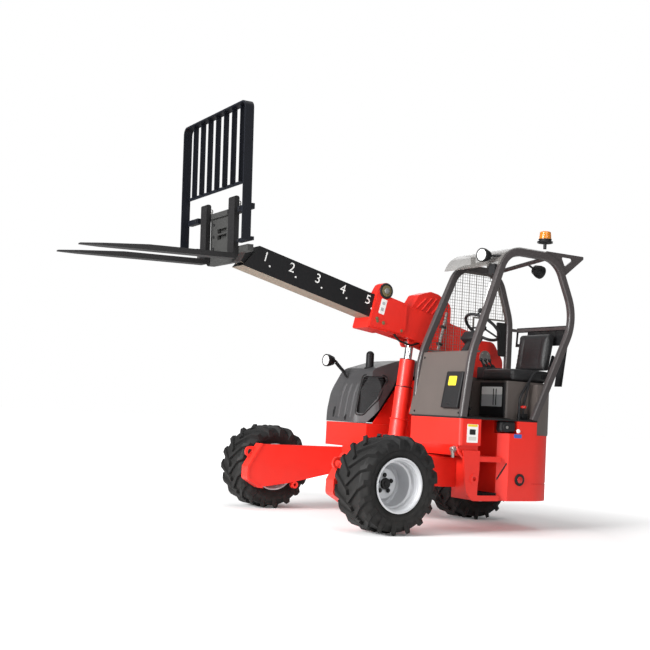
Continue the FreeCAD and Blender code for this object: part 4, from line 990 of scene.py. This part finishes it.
COVER_SIDE, RIB_PITCH = 0.084, 0.06
for side, letter in ((1, "left"), (-1, "right")):
    for number in range(4):
        foot = on_boom(0.8 - RIB_PITCH * number, side * COVER_SIDE, 0.14)
        head = on_boom(0.72 - 0.058 * number, side * COVER_SIDE, 0.262 + 0.018 * min(number, 2))
        lay_tube("cover_rib_" + letter + "_" + str(number), [foot, head], 0.0075, RED, "boom", sides=4)
SLEEVE_X, SLEEVE_Y, SLEEVE_TURNS, SLEEVE_PITCH = 0.494, 0.1345, 38, 0.0094
sleeve = bmesh.new()
for turn in range(SLEEVE_TURNS):
    place = on_boom(SLEEVE_X, SLEEVE_Y, SLEEVE_PITCH * turn - 0.15)
    add_ring(sleeve, aimed(place, SQUARE), 0.0095, 0.005, 20, 6)
close_piece("hose_sleeve", sleeve, HOSE_GREY, "boom")
clamps = bmesh.new()
for up in (-0.1, 0.06):
    add_block(clamps, (-0.024, 0.117, -0.012), (0.024, 0.1525, 0.012), 0.003,
              turned(on_boom(SLEEVE_X, 0, up), -BOOM_SLOPE))
close_piece("hose_clamps", clamps, PLASTIC, "boom")
HOSE_PATH = ((0.97, -0.16), (0.9, -0.2), (0.76, -0.2), (0.68, -0.148))
lay_tube("boom_hose", bent([on_boom(along, 0.085, up) for along, up in HOSE_PATH], 0.06), 0.009, RUBBER_TRIM,
         "boom")


# %% [markdown]
# ## Front of the cab
# The document holder has two seams, a latch and a blank yellow card. The side plate carries a
# blank warning card, and the corner block a drain cap, the grip of the filler cap and a small
# blue card. The panel in the seat base is a dark frame round two blank fields. Cards are thin
# plates with rounded corners, which catch a little light at their edges as vinyl does.

# %% Cards, caps and control panel
panel_foot = from_axle(-0.668, 0, 0.93)
PANEL_UP = (from_axle(-0.768, 0, 1.47) - panel_foot).normalized()
PANEL_OUT = LEFT.cross(PANEL_UP)


def on_panel(y, up, out):
    return panel_foot + LEFT * y + PANEL_UP * up + PANEL_OUT * out


lay_label("holder_card", on_panel(0.885, 0.288, 0.0386), LEFT, PANEL_UP, 0.1, 0.078, LABEL_YELLOW)
holder = bmesh.new()
HOLDER_AXES = framed(on_panel(0, 0, 0.038), PANEL_OUT, LEFT, PANEL_UP)
for y in (0.8, 0.989):
    add_block(holder, (-0.002, y - 0.003, 0.075), (0.0025, y + 0.003, 0.355), 0.001, HOLDER_AXES)
add_block(holder, (-0.002, 0.86, 0.09), (0.006, 0.92, 0.104), 0.002, HOLDER_AXES)
close_piece("holder_trim", holder, PLASTIC)

SIDE_FACE = 1.0505
CARDS = (
    ("step_card", (-0.7795, SIDE_FACE, 0.7985), -FRONT, 0.115, 0.149, LABEL_WHITE),
    ("step_card_head", (-0.7795, SIDE_FACE + 0.0006, 0.862), -FRONT, 0.1, 0.018, LABEL_YELLOW),
    ("step_card_field", (-0.7795, SIDE_FACE + 0.0006, 0.81), -FRONT, 0.062, 0.044, PLASTIC),
    ("step_card_foot", (-0.7795, SIDE_FACE + 0.0006, 0.757), -FRONT, 0.08, 0.03, LABEL_PALE),
    ("corner_card", (-1.268, SIDE_FACE, 0.793), -FRONT, 0.085, 0.032, LABEL_BLUE),
    ("panel_card_head", (-1.2214, 0.7535, 1.168), LEFT, 0.262, 0.066, LABEL_WHITE),
    ("panel_card_field", (-1.2214, 0.7535, 1.084), LEFT, 0.262, 0.102, LABEL_GREY),
)
for card, place, across, width, height, paint in CARDS:
    lay_label(card, from_axle(*place), across, UP, width, height, paint)
slots = bmesh.new()
for y in (0.776, 0.81):
    add_slab(slots, (-1.2212, y - 0.005, 1.045), (-1.2195, y + 0.005, 1.185), 0.0005)
for y, z in ((0.615, 0.965), (0.893, 0.965), (0.615, 1.222), (0.893, 1.222)):
    add_disc(slots, aimed(from_axle(-1.2219, y, z), FRONT), 0.007, 0.003, 16)
close_piece("panel_trim", slots, RUBBER_TRIM)

lay_disc("drain_cap", from_axle(-1.266, 1.0501, 0.835), LEFT, 0.017, 0.012, WHITE, rim=0.003)
filler = bmesh.new()
cap_centre = from_axle(-1.148, 1.048, 0.862)
add_ring(filler, aimed(cap_centre - LEFT * 0.006, LEFT), 0.036, 0.005, 40, 8)
for step in range(18):
    angle = math.radians(20 * step)
    add_block(filler, (0.031, -0.0025, -0.004), (0.039, 0.0025, 0.004), 0.001,
              aimed(cap_centre - LEFT * 0.003, LEFT, angle), 1)
close_piece("filler_grip", filler, PLASTIC)
lay_disc("filler_lock", cap_centre, LEFT, 0.012, 0.004, ZINC, "chassis", 24, rim=0.001)
lay_tube("corner_groove", [from_axle(-1.165, 1.0415, 0.566), from_axle(-1.11, 0.987, 0.43)], 0.006,
         RUBBER_TRIM)


# %% [markdown]
# ## Coupling and steps
# The driver climbs by a grated step and a studded ledge, which give a wet boot some hold. Beside
# them a hose coupling stands behind a bent rod. Bars and studs are laid in rows on the solids,
# which is simpler than cutting a plate and looks the same from a pace away.

# %% Coupling, steps and grating
coupling = bmesh.new()
spot = from_axle(-0.664, 0.973, 0.668)
add_disc(coupling, aimed(spot, (1, 0, -0.35)), 0.026, 0.034, 32, rim=0.004)
add_disc(coupling, aimed(spot + FRONT * 0.016 - UP * 0.012, -UP), 0.018, 0.06, 24, top=0.014, rim=0.003)
close_piece("hose_coupling", coupling, ZINC)
GUARD_PATH = ((-0.66, 0.998, 0.695), (-0.64, 1.03, 0.69), (-0.652, 1.04, 0.64), (-0.7, 1.036, 0.60))
lay_tube("coupling_guard", bent([from_axle(*place) for place in GUARD_PATH], 0.02), 0.008, RED)
GRATING_PITCH, STUD_ROWS, STUD_PITCH = 0.0235, 0.043, 0.04
grating = bmesh.new()
for number in range(9):
    x = -0.884 - GRATING_PITCH * number
    add_slab(grating, (x - 0.003, 0.745, 0.2905), (x + 0.003, 1.028, 0.32), 0.001, 1)
for y in (0.79, 0.86, 0.93, 1.0):
    add_slab(grating, (-1.085, y - 0.002, 0.291), (-0.878, y + 0.002, 0.314), 0.0008, 1)
close_piece("step_grating", grating, RUBBER_TRIM)
treads = bmesh.new()
for row in range(5):
    for column in range(7):
        stud = from_axle(-0.89 - STUD_ROWS * row, 0.78 + STUD_PITCH * column, 0.6141)
        add_disc(treads, aimed(stud, UP), 0.009, 0.0035, 16, top=0.006)
close_piece("ledge_studs", treads, RED)
print("cards", len(CARDS))


# %% [markdown]
# ## Inside the guard
# Around the driver are a rubber mat and two pedals, a gauge pod below the wheel, gaiters round
# the control levers, a parking lever with a red collar, a narrow mirror behind the front leg,
# and slots in the band behind the seat.

# %% Controls and cab trim
MAT_PITCH = 0.021
mat = bmesh.new()
add_slab(mat, (-1.225, 0.4, 0.9302), (-0.74, 1.0, 0.936), 0.002)
for number in range(22):
    x = -0.76 - MAT_PITCH * number
    add_slab(mat, (x - 0.004, 0.42, 0.9355), (x + 0.004, 0.98, 0.939), 0.001, 1)
close_piece("floor_mat", mat, RUBBER_TRIM)
pedals = bmesh.new()
for y in (0.56, 0.84):
    tilt = turned(from_axle(-0.86, y, 1.03), -42)
    add_block(pedals, (-0.055, -0.038, -0.006), (0.055, 0.038, 0.006), 0.004, tilt)
    for x in (-0.045, -0.025, -0.005, 0.015, 0.035):
        add_block(pedals, (x, -0.034, 0.004), (x + 0.008, 0.034, 0.009), 0.001, tilt, 1)
    add_slab(pedals, (-0.88, y - 0.008, 0.93), (-0.86, y + 0.008, 1.02), 0.002)
close_piece("pedals", pedals, PLASTIC)
pod = bmesh.new()
pod_axes = turned(from_axle(-1.02, 0.7, 1.6), -37)
add_block(pod, (-0.05, -0.085, -0.045), (0.055, 0.085, 0.045), 0.016, pod_axes, 3)
for y in (-0.045, 0.0, 0.045):
    add_ring(pod, pod_axes @ Matrix.Translation((-0.02, y, 0.045)), 0.014, 0.003, 24, 6)
close_piece("gauge_pod", pod, PLASTIC)
lever_path = [from_axle(-1.465, 0.95, 1.252), from_axle(-1.412, 0.95, 1.065), from_axle(-1.405, 0.95, 0.95)]
lay_tube("parking_lever", bent(lever_path, 0.03), 0.009, BLACK)
collar = bmesh.new()
add_disc(collar, aimed(from_axle(-1.411, 0.95, 1.03), UP), 0.021, 0.022, 28, rim=0.004)
add_slab(collar, (-1.44, 0.945, 1.034), (-1.365, 0.955, 1.046), 0.003)
close_piece("lever_collar", collar, RED)
shoe = bmesh.new()
add_slab(shoe, (-1.445, 0.93, 0.931), (-1.365, 0.97, 0.985), 0.006)
add_disc(shoe, aimed(from_axle(-1.385, 0.97, 0.96), LEFT), 0.02, 0.012, 28, rim=0.003)
close_piece("lever_shoe", shoe, PLASTIC)
mirror_low, mirror_high = from_axle(-0.95, 0.9, 1.76), from_axle(-1.03, 0.9, 2.075)
mirror_axes = aimed((mirror_low + mirror_high) / 2, mirror_high - mirror_low)
half = (mirror_high - mirror_low).length / 2
# The mirror's glass is a pale glossy plate: a painted reflection in place of a mirror surface.
MIRROR = (("mirror_frame", 0.004, 0.004, PLASTIC), ("mirror_glass_painted_reflection", 0.0, 0.0055, LAMP_WHITE))
for name, grow, deep, paint in MIRROR:
    bm = bmesh.new()
    add_block(bm, (-0.014 - grow, -deep, -half - grow), (0.014 + grow, deep, half + grow), 0.002, mirror_axes)
    close_piece(name, bm, paint)
for number, t in enumerate((0.25, 0.75)):
    place = mirror_low.lerp(mirror_high, t)
    lay_tube("mirror_arm_" + str(number), [place, place + Vector((0.045, 0.125, 0))], 0.005, PLASTIC)
band = bmesh.new()
for y in (0.62, 0.72, 0.82, 0.92):
    add_slab(band, (-1.8392, y - 0.034, 1.69), (-1.8352, y + 0.034, 1.74), 0.001, 1)
close_piece("band_slots", band, RUBBER_TRIM)
lay_label("console_card", from_axle(-1.468, 0.4926, 1.3), -FRONT, UP, 0.05, 0.014, LABEL_YELLOW)
gaiters = bmesh.new()
for number in range(3):
    foot = from_axle(-1.41 - 0.05 * number, 0.425, 1.386)
    for ring in range(4):
        place = foot + Vector((0.004, 0, 0.007)) * ring
        add_ring(gaiters, aimed(place, (0.5, 0, 1)), 0.015 - 0.002 * ring, 0.005, 20, 6)
close_piece("lever_gaiters", gaiters, RUBBER_TRIM)
print("cab pieces ready")


# %% [markdown]
# ## Fasteners and cylinder glands
# Bolt heads stand where plates are really joined: round the pivot's keeper plates, along the
# front panel, on the carriage and at the backrest's fixing bars. Each stage of the lift cylinder
# ends in a gland ring. The carriage leans forward with its forks, so its bolts lean with it.

# %% Bolts and glands
keepers = bmesh.new()
pivot = from_axle(PIVOT_X, 0, PIVOT_Z)
for side in (1, -1):
    for step in range(4):
        angle = math.radians(90 * step + 45)
        spot = pivot + LEFT * side * 0.203 + Vector((math.cos(angle), 0, math.sin(angle))) * 0.044
        add_hex_bolt(keepers, aimed(spot, LEFT * side), 0.016, 0.008)
close_piece("keeper_bolts", keepers, ZINC)
panel_bolts = bmesh.new()
for y in (0.395, 0.99):
    for up in (0.03, 0.5):
        add_hex_bolt(panel_bolts, aimed(on_panel(y, up, 0.0002), PANEL_OUT), 0.013, 0.006)
close_piece("panel_bolts", panel_bolts, BLACK)

tilt_pin = from_axle(0.965, 0, 2.155)
LEAN = turned(tilt_pin, 2.12) @ Matrix.Translation(-tilt_pin)
head_bolts = bmesh.new()
for y in (-0.17, 0.14):
    for z in (2.2, 2.3, 2.4):
        add_hex_bolt(head_bolts, LEAN @ aimed(from_axle(1.0502, y, z), FRONT), 0.018, 0.009)
for side in (1, -1):
    for z in (2.206, 2.456):
        add_hex_bolt(head_bolts, LEAN @ aimed(from_axle(1.1092, side * 0.4, z), FRONT), 0.016, 0.008)
    facing = LEFT * side
    add_disc(head_bolts, LEAN @ aimed(tilt_pin + facing * 0.0961, facing), 0.032, 0.006, 32, rim=0.002)
close_piece("carriage_bolts", head_bolts, BLACK, "fork_carriage")
fork_locks = bmesh.new()
for y in (0.258, -0.258):
    add_disc(fork_locks, LEAN @ aimed(from_axle(1.04, y, 2.4965), UP), 0.014, 0.03, 24, rim=0.004)
    add_ring(fork_locks, LEAN @ aimed(from_axle(1.04, y, 2.528), LEFT), 0.016, 0.004, 28, 6)
close_piece("fork_locks", fork_locks, ZINC, "fork_carriage")

cylinder_foot, cylinder_eye = from_axle(-0.745, 0, 0.345), from_axle(-0.88, 0, 1.577)
LIFT_LINE = (cylinder_eye - cylinder_foot).normalized()
GLANDS = (("cylinder_barrel", 0.537, 0.0825, 0.0065), ("cylinder_stage_low", 0.829, 0.0755, 0.0045),
          ("cylinder_stage_top", 1.079, 0.0665, 0.0045))
for body, reach, radius, wire in GLANDS:
    gland = bmesh.new()
    place = cylinder_foot + LIFT_LINE * (reach - wire * 0.5)
    add_ring(gland, aimed(place, LIFT_LINE), radius, wire, 48, 8)
    close_piece("gland_" + body, gland, PLASTIC if body != "cylinder_barrel" else RED, body)
print("bolts and glands ready")
